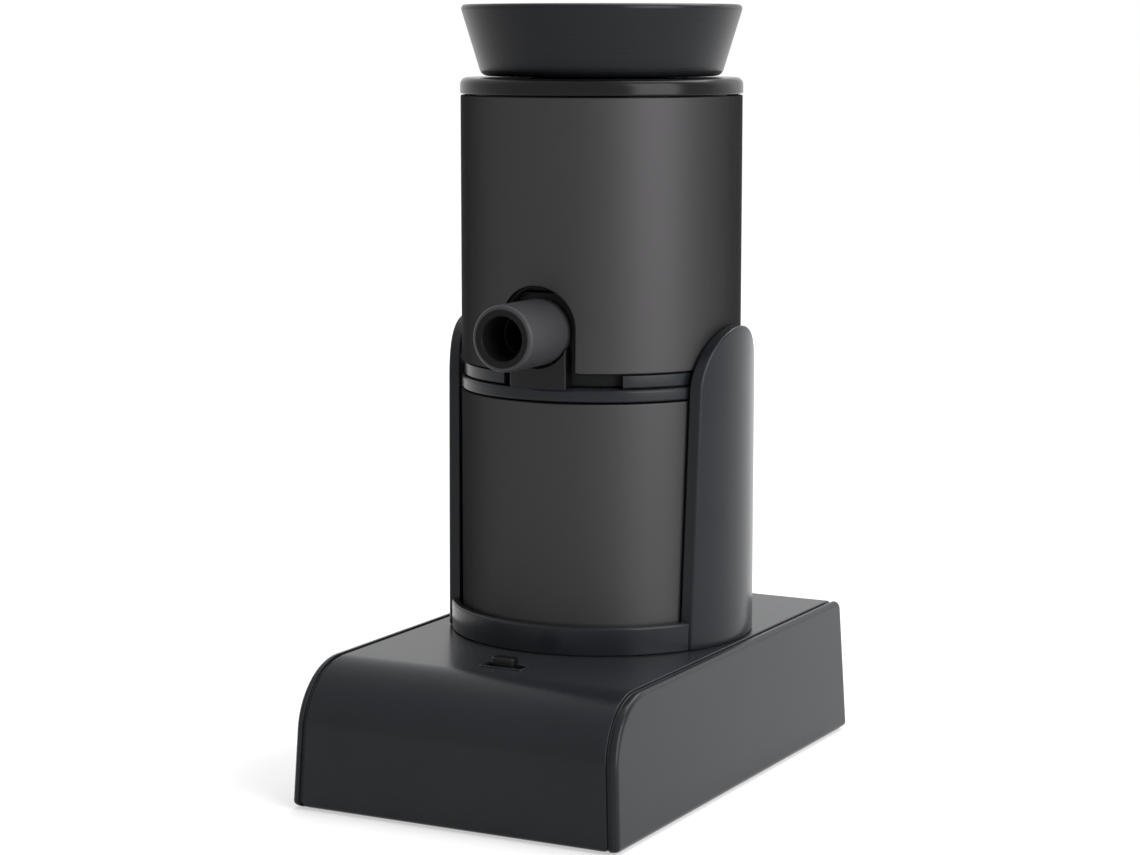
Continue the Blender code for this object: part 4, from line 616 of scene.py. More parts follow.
@dataclass
class StandShell(Assembly):
    """Drafted base with a rounded front, and a bead and groove along each side edge."""

    wall: float = 2.2 * MM
    front_radius: float = 14.0 * MM
    front_points: int = 25
    rear_radius: float = 2.0 * MM
    rear_points: int = 9
    foot_radius: float = 1.2 * MM
    foot_points: int = 6
    bead: float = 1.4 * MM
    bead_round: float = 0.9 * MM
    groove: float = 1.1 * MM
    groove_depth: float = 0.65 * MM
    groove_round: float = 0.2 * MM
    groove_lean: float = 0.11 * MM
    border: float = 0.6 * MM
    lining_share: float = 0.05
    gap: float = 0.3 * MM
    slot_lap: float = 0.3 * MM
    edge: float = 0.25 * MM

    def tuck(self, height: np.ndarray, radius: float) -> np.ndarray:
        """How far the foot is drawn in at a height: the space outside a quarter circle of a radius."""
        share = np.clip(height / self.foot_radius, 0.0, 1.0)
        return radius * (1.0 - np.sqrt(share * (2.0 - share)))

    def outline(
        self, inset: np.ndarray, foot: float, rows_y: Sequence[float], rows_z: Sequence[float]
    ) -> np.ndarray:
        """Work out the side view for each station of the shell, which is centred on the frame's axes.

        From the rounded rear foot it leans in by the draft, turns by the rear arc, runs level, turns down by
        the front arc and leans out to the front foot.

        Args:
            inset: How far each station is drawn in.
            foot: Radius of the rounded foot.
            rows_y: Y of extra points on the deck.
            rows_z: Height of extra points on the rear face.
        Returns:
            Y and Z by station and point.
        """
        shell = Solid("stand_shell")
        inset = inset[:, None]
        top = shell.top - inset
        front = self.front_radius - inset
        rear = np.maximum(self.rear_radius - inset, self.gap)

        def edge(z: np.ndarray) -> np.ndarray:
            """Distance of the end faces from the middle at a height."""
            return shell.rear - inset - DRAFT * (z - shell.bottom) - self.tuck(z - shell.bottom, foot)

        turn = np.linspace(0.0, QUARTER, self.foot_points)
        feet = shell.bottom + self.foot_radius * (1.0 - np.cos(turn)) + 0.0 * inset
        quarter = np.linspace(0.0, QUARTER, self.rear_points)
        half = np.linspace(QUARTER, math.pi, self.front_points)
        levels = [np.full_like(inset, z) for z in rows_z]
        y = [
            edge(feet), *map(edge, levels), edge(top - rear) - rear + rear * np.cos(quarter),
            *(np.full_like(inset, y) for y in rows_y),
            front - edge(top - front) + front * np.cos(half), -edge(feet[:, ::-1]),
        ]
        z = [
            feet, *levels, top - rear + rear * np.sin(quarter), *(top for _ in rows_y),
            top - front + front * np.sin(half), feet[:, ::-1],
        ]
        return grid(np.concatenate(y, axis=1), np.concatenate(z, axis=1))

    def stations(self, edge: np.ndarray, foot: float) -> np.ndarray:
        """Lay the stations of one skin from the left side to the right.

        Args:
            edge: Offset from the side and inset of each station, from the side to the middle.
            foot: Radius of the rounded foot.
        Returns:
            Points by station and row.  The two rows after the foot border the doorway, and the two after
            the rear arc the switch slot.
        """
        shell, door, slot = Solid("stand_shell"), Solid("battery_door"), Solid("switch_bezel")
        gap, lap = self.gap, self.slot_lap
        inner = np.array([door.left - gap, slot.left + lap, slot.right - lap, door.right + gap])[:, None]
        outline = self.outline(
            np.concatenate([edge[:, 1], np.full(len(inner), edge[-1, 1]), edge[::-1, 1]]), foot,
            (slot.rear - lap, slot.front + lap), (door.bottom - gap, door.top + gap),
        )
        height = outline[:len(edge), :, 1] - shell.bottom
        flank = shell.right - edge[:, :1] - DRAFT * height - self.tuck(height, foot)
        middle = np.broadcast_to(inner, (len(inner), outline.shape[1]))
        return np.concatenate([np.concatenate([-flank, middle, flank[::-1]])[..., None], outline], axis=-1)

    def build(self) -> None:
        """Build the outside, the plain inside and the rims that join them at the foot and the openings."""
        bead, lean, small = self.bead, self.groove_lean, self.groove_round
        end, depth = bead + self.groove, self.groove_depth
        edge = rounded([
            (0.0, bead), (0.0, 0.0, self.bead_round), (bead, 0.0, small), (bead + lean, depth, small),
            (end - lean, depth, small), (end, 0.0, small), (end + self.border, 0.0),
        ], steps=4)
        lining = grid(self.wall + self.lining_share * edge[:, 0], self.wall)
        outer, inner = self.stations(edge, self.foot_radius), self.stations(lining, 0.0)
        first, feet = len(edge), self.foot_points
        deck = feet + 2 + self.rear_points
        door = (slice(first, first + 4), slice(feet, feet + 2))
        slot = (slice(first + 1, first + 3), slice(deck, deck + 2))
        keep = np.ones((outer.shape[0] - 1, outer.shape[1] - 1), bool)
        keep[first:first + 3, feet] = False
        keep[first + 1, deck] = False
        rims = [(slice(None), 0), (slice(None), -1), (0, [0, -1]), (-1, [0, -1])]
        for columns, rows in (door, slot):
            rims += [(columns, row) for row in (rows.start, rows.stop - 1)]
            rims += [(column, rows) for column in (columns.start, columns.stop - 1)]
        patches = [Patch(outer, keep=keep), Patch(inner, keep=keep)]
        patches += [Patch(np.stack([outer[rim], inner[rim]])) for rim in rims]
        for points in (outer[0], outer[-1], inner[0], inner[-1]):
            patches.append(fan(points[feet - 1:len(points) - feet + 1]))
            patches.append(Patch(np.stack([points[:feet], points[::-1][:feet]])))
        self.dress("stand_shell", patches, MOULDED_ABS, edge=self.edge)


@dataclass
class Cradle(Assembly):
    """Round plinth, two tall side wings that stand a little proud of it, and the contact studs."""

    wall: float = 2.5 * MM
    cup_wall: float = 2.3 * MM
    floor: float = 2.2 * MM
    lip: float = 6.0 * MM
    lip_round: float = 0.6 * MM
    cup_round: float = 0.4 * MM
    foot_round: float = 0.3 * MM
    seam: float = 0.1 * MM
    lip_setback: float = 0.6 * MM
    wing_foot: float = 15.5 * MM
    wing_top: float = 13.6 * MM
    wing_step: float = 0.7 * MM
    wing_rows: int = 8
    spine_share: float = 0.4
    crown_points: int = 49
    arc_points: int = 6
    softness: float = 0.45 * MM
    shank: float = 1.4 * MM
    head_height: float = 0.8 * MM
    head_slope: float = 0.4 * MM
    head_flat: float = 0.7
    head_round: float = 0.3 * MM
    head_edge: float = 0.1 * MM

    def wing(self, side: float, bottom: float) -> Patch:
        """Bend one wing round the axis.

        Its outline runs along the bottom, up the leaning side, over a half circle and down again.  From
        there the rows go over the rounded edge to an upright line in the wing's middle, on both faces.  The
        angle of a point is the arcsine of its distance from the middle over its radius.

        Args:
            side: +1 for the wing at +X, -1 for the other.
            bottom: Height of its foot.
        Returns:
            The closed surface.
        """
        cradle = Solid("cradle")
        centre = cradle.top - self.wing_top
        flank = rounded([(0.0, bottom), (-self.wing_foot, bottom, self.softness), (-self.wing_top, centre)])
        path = spaced(arched(flank, self.wing_top, centre, self.crown_points), self.wing_step)[:-1]
        outward = normals_of(path, 1.0)
        fold, rim = edge_arcs(self.softness, self.wall, self.arc_points)
        spine = grid(0.0, np.clip(path[:, 1], bottom + self.spine_share * self.wing_foot, centre))
        share = np.linspace(0.0, 1.0, self.wing_rows + 1)[:-1, None, None]
        face = spine + share * (path - self.softness * outward - spine)
        flat = np.concatenate([face, path - fold * outward, face[::-1]])
        plain_rows = np.zeros(self.wing_rows)
        radius = cradle.radius - np.concatenate([plain_rows, rim, plain_rows + self.wall])[:, None]
        angle = np.arcsin(flat[..., 0] / radius)
        angle = angle if side > 0.0 else math.pi - angle
        return Patch(about(cradle.axis, radius, angle, flat[..., 1]), ring=True)

    def build(self) -> None:
        """Build the plinth as a turned cup, the wings and the studs."""
        cradle = Solid("cradle")
        bottom = Solid("stand_shell").top + self.seam
        outer, inner = cradle.radius - self.lip_setback, cradle.radius - self.cup_wall
        seat, lip = bottom + self.floor, bottom + self.lip
        cup = rounded([
            (0.0, seat), (inner, seat, self.cup_round), (inner, lip, self.cup_round),
            (outer, lip, self.lip_round), (outer, bottom, self.foot_round), (0.0, bottom),
        ])
        self.dress("cradle", [spun(cup, cradle.axis, FINE)], MOULDED_ABS, name="cradle_plinth")
        for name, side in (("cradle_wing_right", 1.0), ("cradle_wing_left", -1.0)):
            self.dress("cradle", [self.wing(side, bottom)], MOULDED_ABS, name=name, hides=False)
        for node in ("contact_stud_centre", "contact_stud_outer"):
            self.stud(node)

    def stud(self, node: str) -> None:
        """Turn one rivet-shaped contact stud.

        Args:
            node: Name of the stud's solid.
        """
        solid = Solid(node)
        head, top, bottom, under = solid.radius, solid.top, solid.bottom, solid.top - self.head_height
        profile = rounded([
            (0.0, top), (self.head_flat * head, top, self.head_round),
            (head, top - self.head_slope, self.head_round), (head, under, self.head_edge),
            (self.shank, under), (self.shank, bottom), (0.0, bottom),
        ], steps=4)
        self.dress(node, [spun(profile, solid.axis, SMALL)], BRASS, even=False)


@dataclass
class SlideSwitch(Assembly):
    """Bezel with a thin flange on the deck, and the knob in its slot."""

    border: float = 0.7 * MM
    flange: float = 0.4 * MM
    flange_lift: float = 0.02 * MM
    flange_round: float = 0.2 * MM
    corner: float = 0.7 * MM
    least_corner: float = 0.05 * MM
    corner_points: int = 9
    edge: float = 0.4 * MM
    dish: float = 0.2 * MM
    knob_depth: float = 2.0 * MM
    lid_share: float = 0.98
    lid_rows: int = 8

    def rings(self, node: str, steps: np.ndarray) -> np.ndarray:
        """Carry a rectangle with rounded corners up a profile.

        Args:
            node: Solid whose box is the widest outline.
            steps: Inset and height of each outline.
        Returns:
            Points by outline and place on it: a quarter circle round each corner.
        """
        box = Solid(node)
        inset = steps[:, :1, None]
        radius = np.maximum(self.corner - inset, self.least_corner)
        turn = np.linspace(0.0, QUARTER, self.corner_points) + QUARTER * np.arange(4)[:, None]
        right, far = np.array([1, 0, 0, 1])[:, None], np.array([1, 1, 0, 0])[:, None]
        x = np.where(right, box.right - inset - radius, box.left + inset + radius) + radius * np.cos(turn)
        y = np.where(far, box.rear - inset - radius, box.front + inset + radius) + radius * np.sin(turn)
        return grid(x, y, steps[:, 1:, None]).reshape(len(steps), -1, 3)

    def build(self) -> None:
        """Build the bezel and the knob."""
        bezel = Solid("switch_bezel")
        deck = Solid("stand_shell").top + self.flange_lift
        steps = rounded([
            (self.flange, bezel.bottom), (self.flange, deck), (0.0, deck),
            (0.0, bezel.top, self.flange_round), (self.border, bezel.top, self.edge),
            (self.border, bezel.bottom),
        ], steps=4)
        ring = Patch(self.rings("switch_bezel", steps), ring=True, loop=True)
        self.dress("switch_bezel", [ring], MOULDED_ABS)
        self.knob(deck)

    def knob(self, deck: float) -> None:
        """Build the knob: a block with round corners whose top sinks by a parabola across its width.

        Args:
            deck: Height of the bezel's flange.
        """
        knob = Solid("switch_knob")
        end = self.lid_share * 0.5 * knob.length
        steps = rounded([(0.0, deck - self.knob_depth), (0.0, knob.top, self.edge), (end, knob.top)], steps=4)
        inward = np.linspace(self.edge, end, self.lid_rows)[1:]
        points = self.rings("switch_knob", np.concatenate([steps[:-1], grid(inward, knob.top)]))
        lid = points[-self.lid_rows:]
        across = (lid[..., 0] - knob.axis[0]) / (knob.radius - self.edge)
        lid[..., 2] -= self.dish * np.clip(1.0 - across ** 2, 0.0, 1.0)
        self.dress("switch_knob", [Patch(points, ring=True), fan(points[0]), fan(points[-1])], POLISHED_ABS)


@dataclass
class LowerHandset(Assembly):
    """Lower sleeve, coupling ring and the pad under the nozzle."""

    sleeve_wall: float = 1.0 * MM
    edge: float = 0.3 * MM
    ring_bore: float = 20.0 * MM
    ring_top: float = 0.6 * MM
    ring_under: float = 0.45 * MM
    pad_half: float = 6.6 * MM
    pad_grid: tuple[int, int] = (9, 33)
    pad_setback: float = 0.3 * MM
    pad_wall: float = 2.7 * MM
    pad_sink: float = 0.4 * MM
    pad_edge: float = 0.6 * MM
    nozzle_gap: float = 0.3 * MM

    def build(self) -> None:
        """Build the sleeve and the ring as turned pieces, and the pad as a bent plate."""
        tube = Solid("lower_sleeve")
        wall = band(tube.radius, tube.radius - self.sleeve_wall, tube.bottom, tube.top, (self.edge,) * 4)
        self.dress("lower_sleeve", [spun(wall, tube.axis, FINE)], ANODISED)
        top = Solid("fan_housing").bottom - self.nozzle_gap
        edges = (self.ring_top, self.edge, self.edge, self.ring_under)
        hoop = band(tube.radius, self.ring_bore, tube.top + self.nozzle_gap, top, edges)
        self.dress("coupling_ring", [spun(hoop, tube.axis, FINE)], MOULDED_ABS)
        self.pad(tube.axis, tube.radius - self.pad_setback, top - self.pad_sink)

    def pad(self, centre: Axis, radius: float, foot: float) -> None:
        """Build the pad, whose upper edge is the lower arc of a circle a little wider than the nozzle.

        Args:
            centre: X and Y of the axis.
            radius: Radius of its face.
            foot: Height of its lower edge.
        """
        nozzle = Solid("nozzle")
        room = 0.5 * (nozzle.top - nozzle.bottom) + self.nozzle_gap
        rows, columns = self.pad_grid
        x = np.linspace(-self.pad_half, self.pad_half, columns)
        top = nozzle.level - np.sqrt(room ** 2 - x ** 2)
        height = foot + np.linspace(0.0, 1.0, rows)[:, None] * (top - foot)
        face = grid(centre[0] + x, centre[1] - np.sqrt(radius ** 2 - x ** 2), height)
        plate = between(face, face - self.pad_wall * FORWARD)
        self.dress(
            "coupling_ring", plate, POLISHED_ABS, name="nozzle_pad", hides=False, edge=self.pad_edge,
            even=False,
        )


@dataclass
class Barrel(Assembly):
    """Upper sleeve with its arch, the liner with its notched skirt, and the polished collar."""

    arch_gap: float = 1.3 * MM
    sleeve_gap: float = 0.45 * MM
    arch_lift: float = 0.9 * MM
    arch_foot: float = 0.6 * MM
    arch_step: float = 0.5 * MM
    crown_points: int = 41
    arc_points: int = 5
    fan_width: float = 17.0 * MM
    fan_lift: float = 5.0 * MM
    fan_rows: int = 14
    sleeve_wall: float = 1.0 * MM
    liner_wall: float = 1.5 * MM
    skirt_height: float = 2.7 * MM
    skirt_setback: float = 0.6 * MM
    skirt_edge: float = 0.3 * MM
    notch_end: float = 36.0
    softness: float = 0.25 * MM
    collar_gap: float = 0.3 * MM
    collar_start: float = 1.0 * MM
    shoulder: float = 1.5 * MM
    collar_foot: float = 0.35 * MM
    bore_inset: float = 14.0 * MM
    spigot_inset: float = 3.1 * MM
    spigot_wall: float = 1.7 * MM
    spigot_lead: float = 0.4 * MM
    bore_edge: float = 0.3 * MM
    inner_edge: float = 0.2 * MM

    def arch(self, radius: float, bottom: float, gap: float) -> np.ndarray:
        """Lay the lower edge of a tube flat, with its arch.

        It runs along the bottom, up the arch's side, over a half circle round the nozzle, and down to the
        bottom again, with rounded lower corners.

        Args:
            radius: Outer radius of the tube.
            bottom: Height of its lower edge.
            gap: Space left beside the nozzle.
        Returns:
            Distance round the tube from the front, and height.
        """
        nozzle = Solid("nozzle")
        half, spring = nozzle.radius + gap, nozzle.level + self.arch_lift
        corners = [(-self.fan_width, bottom), (-half, bottom, self.arch_foot), (-half, spring)]
        path = arched(rounded(corners, steps=5), half, spring, self.crown_points)
        path[:, 0] = radius * np.arcsin(path[:, 0] / radius)
        return spaced(path, self.arch_step)

    def tube(self, radius: float, wall: float, bottom: float, top: float, gap: float) -> Patch:
        """Bend an arched wall into a tube.

        The wall is laid flat, as distance round the tube and height.  Its rows run from the plain upper edge
        to an even row above the arch, fan out from there to the shaped lower edge, go over that edge's
        rounding, back on the inner side, and over the upper edge's rounding.  The angle of a point is its
        distance round the tube over the outer radius.

        Args:
            radius: Outer radius.
            wall: Wall thickness.
            bottom: Height of the lower edge.
            top: Height of the upper edge.
            gap: Space that the arch leaves beside the nozzle.
        Returns:
            The closed surface.
        """
        arch = self.arch(radius, bottom, gap)
        rest = np.linspace(arch[-1, 0], TURN * radius + arch[0, 0], FINE)[1:-1]
        edge = np.concatenate([arch, grid(rest, bottom)])
        down = normals_of(edge, -1.0, (TURN * radius, 0.0))
        across = np.concatenate([np.linspace(arch[0, 0], arch[-1, 0], len(arch)), rest])
        join = grid(across, arch[:, 1].max() + self.fan_lift)
        far = grid(across, top)
        fold, rim = edge_arcs(self.softness, wall, self.arc_points)
        share = np.linspace(0.0, 1.0, self.fan_rows + 1)[1:-1, None, None]
        near = join + share * (edge - self.softness * down - join)
        face = np.concatenate([far[None] - np.array([0.0, self.softness]), join[None], near])
        back = np.concatenate([near[::-1], join[None], face[:1]])
        flat = np.concatenate([face, edge - fold * down, back, far - fold * np.array([0.0, 1.0])])
        plain_rows = np.zeros(len(face))
        sink = np.concatenate([plain_rows, rim, plain_rows + wall, rim[::-1]])[:, None]
        angle = flat[..., 0] / radius - QUARTER
        points = about(Solid("barrel_sleeve").axis, radius - sink, angle, flat[..., 1])
        return Patch(points, ring=True, loop=True)

    def skirt(self, radius: float, wall: float, low: float, high: float) -> list[Patch]:
        """Carry a rounded rectangle round the axis, from the notch's end to the arch's other side.

        Args:
            radius: Outer radius.
            wall: Wall thickness.
            low: Height of the underside.
            high: Height of the top.
        Returns:
            The surface and its two ends.
        """
        start = math.radians(self.notch_end) - QUARTER
        end = 1.5 * math.pi - math.asin((Solid("nozzle").radius + self.arch_gap) / radius)
        angle = np.linspace(start, end, FINE)[:, None]
        section = band(radius, radius - wall, low, high, (self.skirt_edge,) * 4, steps=3)
        points = about(Solid("barrel_sleeve").axis, section[:, 0], angle, section[:, 1])
        return [Patch(points, slot=1), *(fan(points[i], ring=False, slot=1) for i in (0, -1))]

    def build(self) -> None:
        """Build sleeve, liner, skirt and collar."""
        sleeve = Solid("barrel_sleeve")
        gap = self.arch_gap + self.sleeve_gap
        tube = self.tube(sleeve.radius, self.sleeve_wall, sleeve.bottom, sleeve.top, gap)
        self.dress("barrel_sleeve", [tube], ANODISED)
        bottom = Solid("barrel_liner").bottom
        top = bottom + self.skirt_height
        inner = sleeve.radius - self.sleeve_wall - self.softness
        outer = sleeve.radius - self.skirt_setback
        liner = self.tube(inner, self.liner_wall, top, sleeve.top, self.arch_gap)
        skirt = self.skirt(outer, outer - inner + self.liner_wall, bottom, top)
        self.dress("barrel_liner", [liner, *skirt], INNER_ABS, MOULDED_ABS)
        self.collar(sleeve.radius - self.spigot_inset, sleeve.top + self.collar_gap)

    def collar(self, spigot: float, bottom: float) -> None:
        """Turn the polished collar, with its broad rounded shoulder and the spigot under it.

        Args:
            spigot: Outer radius of the spigot.
            bottom: Height of the collar's underside.
        """
        collar = Solid("top_collar")
        radius, low, high = collar.radius, collar.bottom, collar.top
        bore, inner = Solid("burn_bowl").radius - self.bore_inset, spigot - self.spigot_wall
        end = (radius, bottom + self.collar_start)
        profile = rounded([
            end, (radius, high, self.shoulder), (bore, high, self.bore_edge), (bore, bottom, self.inner_edge),
            (inner, bottom, self.bore_edge), (inner, low, self.inner_edge), (spigot, low, self.spigot_lead),
            (spigot, bottom, self.inner_edge), (radius, bottom, self.collar_foot), end,
        ], steps=8)
        self.dress("top_collar", [spun(profile, Solid("barrel_sleeve").axis, FINE)], POLISHED_ABS)


@dataclass
class BurnBowl(Assembly):
    """Flared bowl with its stem, the woven screen in it, and the O-ring."""

    flare: float = 4.6 * MM
    wall: float = 1.7 * MM
    rim_inside: float = 0.6 * MM
    rim_outside: float = 0.9 * MM
    foot_round: float = 1.8 * MM
    stem: float = 15.6 * MM
    stem_bore: float = 13.0 * MM
    stem_end: float = 0.5 * MM
    ledge: float = 10.6 * MM
    ledge_height: float = 1.4 * MM
    ledge_edge: float = 0.2 * MM
    neck_round: float = 0.3 * MM
    floor: float = 1.8 * MM
    play: float = 0.3 * MM
    edge: float = 0.1 * MM
    seal_thick: float = 0.65 * MM
    seal_points: int = 16
    strand: float = 0.28 * MM
    strand_sides: int = 6
    pitch: float = 1.5 * MM
    pitch_points: int = 8

    def build(self) -> None:
        """Build the bowl as one turned piece, then its screen and seal."""
        bowl, seal = Solid("burn_bowl"), Solid("bowl_seal")
        rim, edge, low = bowl.radius, self.edge, bowl.bottom
        foot = Solid("top_collar").top + self.play
        under, over = seal.bottom - self.play, seal.top + self.play
        groove = seal.radius - 2.0 * self.seal_thick - self.play
        end = (self.stem_bore, foot + self.floor)
        step = low + self.ledge_height
        profile = rounded([
            end, (rim - self.wall, bowl.top, self.rim_inside), (rim, bowl.top, self.rim_outside),
            (rim - self.flare, foot, self.foot_round), (self.stem, foot, self.neck_round),
            (self.stem, over, edge), (groove, over, edge), (groove, under, edge), (self.stem, under, edge),
            (self.stem, low, self.stem_end), (self.ledge, low, self.ledge_edge),
            (self.ledge, step, self.ledge_edge), (self.stem_bore, step), end,
        ], steps=7)
        self.dress("burn_bowl", [spun(profile, bowl.axis, FINE)], COATED_BOWL)
        self.screen(bowl.axis)
        turn = np.linspace(0.0, TURN, self.seal_points, endpoint=False)
        thick = self.seal_thick
        section = grid(seal.radius - thick + thick * np.cos(turn), seal.level + thick * np.sin(turn))
        self.dress("bowl_seal", [spun(section, bowl.axis, MIDDLE, closed=True)], RUBBER, even=False)

    def screen(self, centre: Axis) -> None:
        """Weave the screen: each strand is a cosine over the strands that cross it.

        Args:
            centre: X and Y of the bowl's axis.
        """
        solid = Solid("mesh_screen")
        radius, thin = solid.radius - self.strand, 0.5 * self.strand
        count = int(radius / self.pitch)
        patches: list[Patch] = []
        for k in range(-count, count + 1):
            side = k * self.pitch
            half = math.sqrt(radius ** 2 - side ** 2)
            points = int(half / self.pitch * self.pitch_points)
            run = np.linspace(-half, half, max(self.pitch_points, points))
            wave = thin * np.cos(math.pi * run / self.pitch) * (-1.0) ** k
            warp = grid(centre[0] + run, centre[1] + side, solid.level + wave)
            weft = grid(centre[0] + side, centre[1] + run, solid.level - wave)
            patches += wire(warp, thin, self.strand_sides) + wire(weft, thin, self.strand_sides)
        hoop = band(radius, radius + self.strand, solid.bottom, solid.top, (self.edge,) * 4, steps=2)
        patches.append(spun(hoop, centre, MIDDLE))
        self.dress("mesh_screen", patches, NICKEL, name="mesh_screen_weave", even=False)


@dataclass
class Nozzle(Assembly):
    """Rubber hose nozzle, pushed on the fan's spout."""

    bore: float = 4.6 * MM
    mouth_edge: float = 0.3 * MM
    socket: float = 5.7 * MM
    socket_depth: float = 8.0 * MM
    socket_edge: float = 0.2 * MM
    lead_in: float = 0.8 * MM
    edge: float = 0.9 * MM

    def build(self) -> None:
        """Turn the nozzle about its own level axis."""
        solid = Solid("nozzle")
        radius, length = 0.5 * (solid.top - solid.bottom), solid.length
        bore, socket, depth = self.bore, self.socket, self.socket_depth
        brim, lead = radius - self.edge, length - self.lead_in
        outside = rounded([
            (brim, length), (radius, length, self.edge), (radius, 0.0, self.mouth_edge),
            (socket, 0.0, self.socket_edge), (socket, self.lead_in),
        ], steps=7)
        inside = rounded([(socket, self.lead_in), (socket, depth), (bore, depth), (bore, lead)])
        mouth = rounded([(bore, lead), (bore, length, self.mouth_edge), (brim, length)], steps=7)
        start = (solid.axis[0], solid.rear, solid.level)
        paths = enumerate((outside, inside, mouth))
        patches = [swung(path, start, FORWARD, MIDDLE, slot) for slot, path in paths]
        # The bore and the front face take darker copies of the rubber: painted shade.
        self.dress("nozzle", patches, RUBBER, BORE_SHADE_RUBBER, FRONT_FACE_SHADE_RUBBER)


@dataclass
class Underside(Assembly):
    """Feet and screws under the stand."""

    foot_edge: float = 1.0 * MM
    foot_top: float = 0.1 * MM
    recess: float = 0.6 * MM
    recess_width: float = 0.35 * MM
    recess_length: float = 1.5 * MM
    dome: float = 0.5 * MM
    head_height: float = 1.2 * MM
    shank: float = 1.2 * MM
    head_rows: int = 30

    def build(self) -> None:
        """Turn the four feet, and build both screws with a cross recess."""
        for node in ("foot_front_left", "foot_front_right", "foot_rear_left", "foot_rear_right"):
            foot = Solid(node)
            profile = rounded([
                (0.0, foot.top), (foot.radius, foot.top, self.foot_top),
                (foot.radius, foot.bottom, self.foot_edge), (0.0, foot.bottom),
            ])
            self.dress(node, [spun(profile, foot.axis, SMALL)], RUBBER)
        for node in ("plate_screw_left", "plate_screw_right"):
            self.screw(node)

    def screw(self, node: str) -> None:
        """Build a screw: a domed head whose underside is sunk along a cross, and a plain shank.

        The head's height falls with the square of the radius, and the cross is sunk where either arm's
        half width and length are kept.

        Args:
            node: Name of the screw's solid.
        """
        solid = Solid(node)
        head, shank, low, top = solid.radius, self.shank, solid.bottom, solid.top
        angle = np.linspace(0.0, TURN, MIDDLE, endpoint=False)
        radius = np.linspace(0.0, head, self.head_rows)[:, None]
        x, y = np.abs(radius * np.cos(angle)), np.abs(radius * np.sin(angle))
        cross = (np.minimum(x, y) < self.recess_width) & (np.maximum(x, y) < self.recess_length)
        face = low + self.dome * (radius / head) ** 2 + self.recess * cross
        seat = low + self.head_height
        body = np.array([(head, low + self.dome), (head, seat), (shank, seat), (shank, top), (0.0, top)])
        patches = [Patch(about(solid.axis, radius, angle, face), ring=True), spun(body, solid.axis, MIDDLE)]
        self.dress(node, patches, NICKEL, even=False)


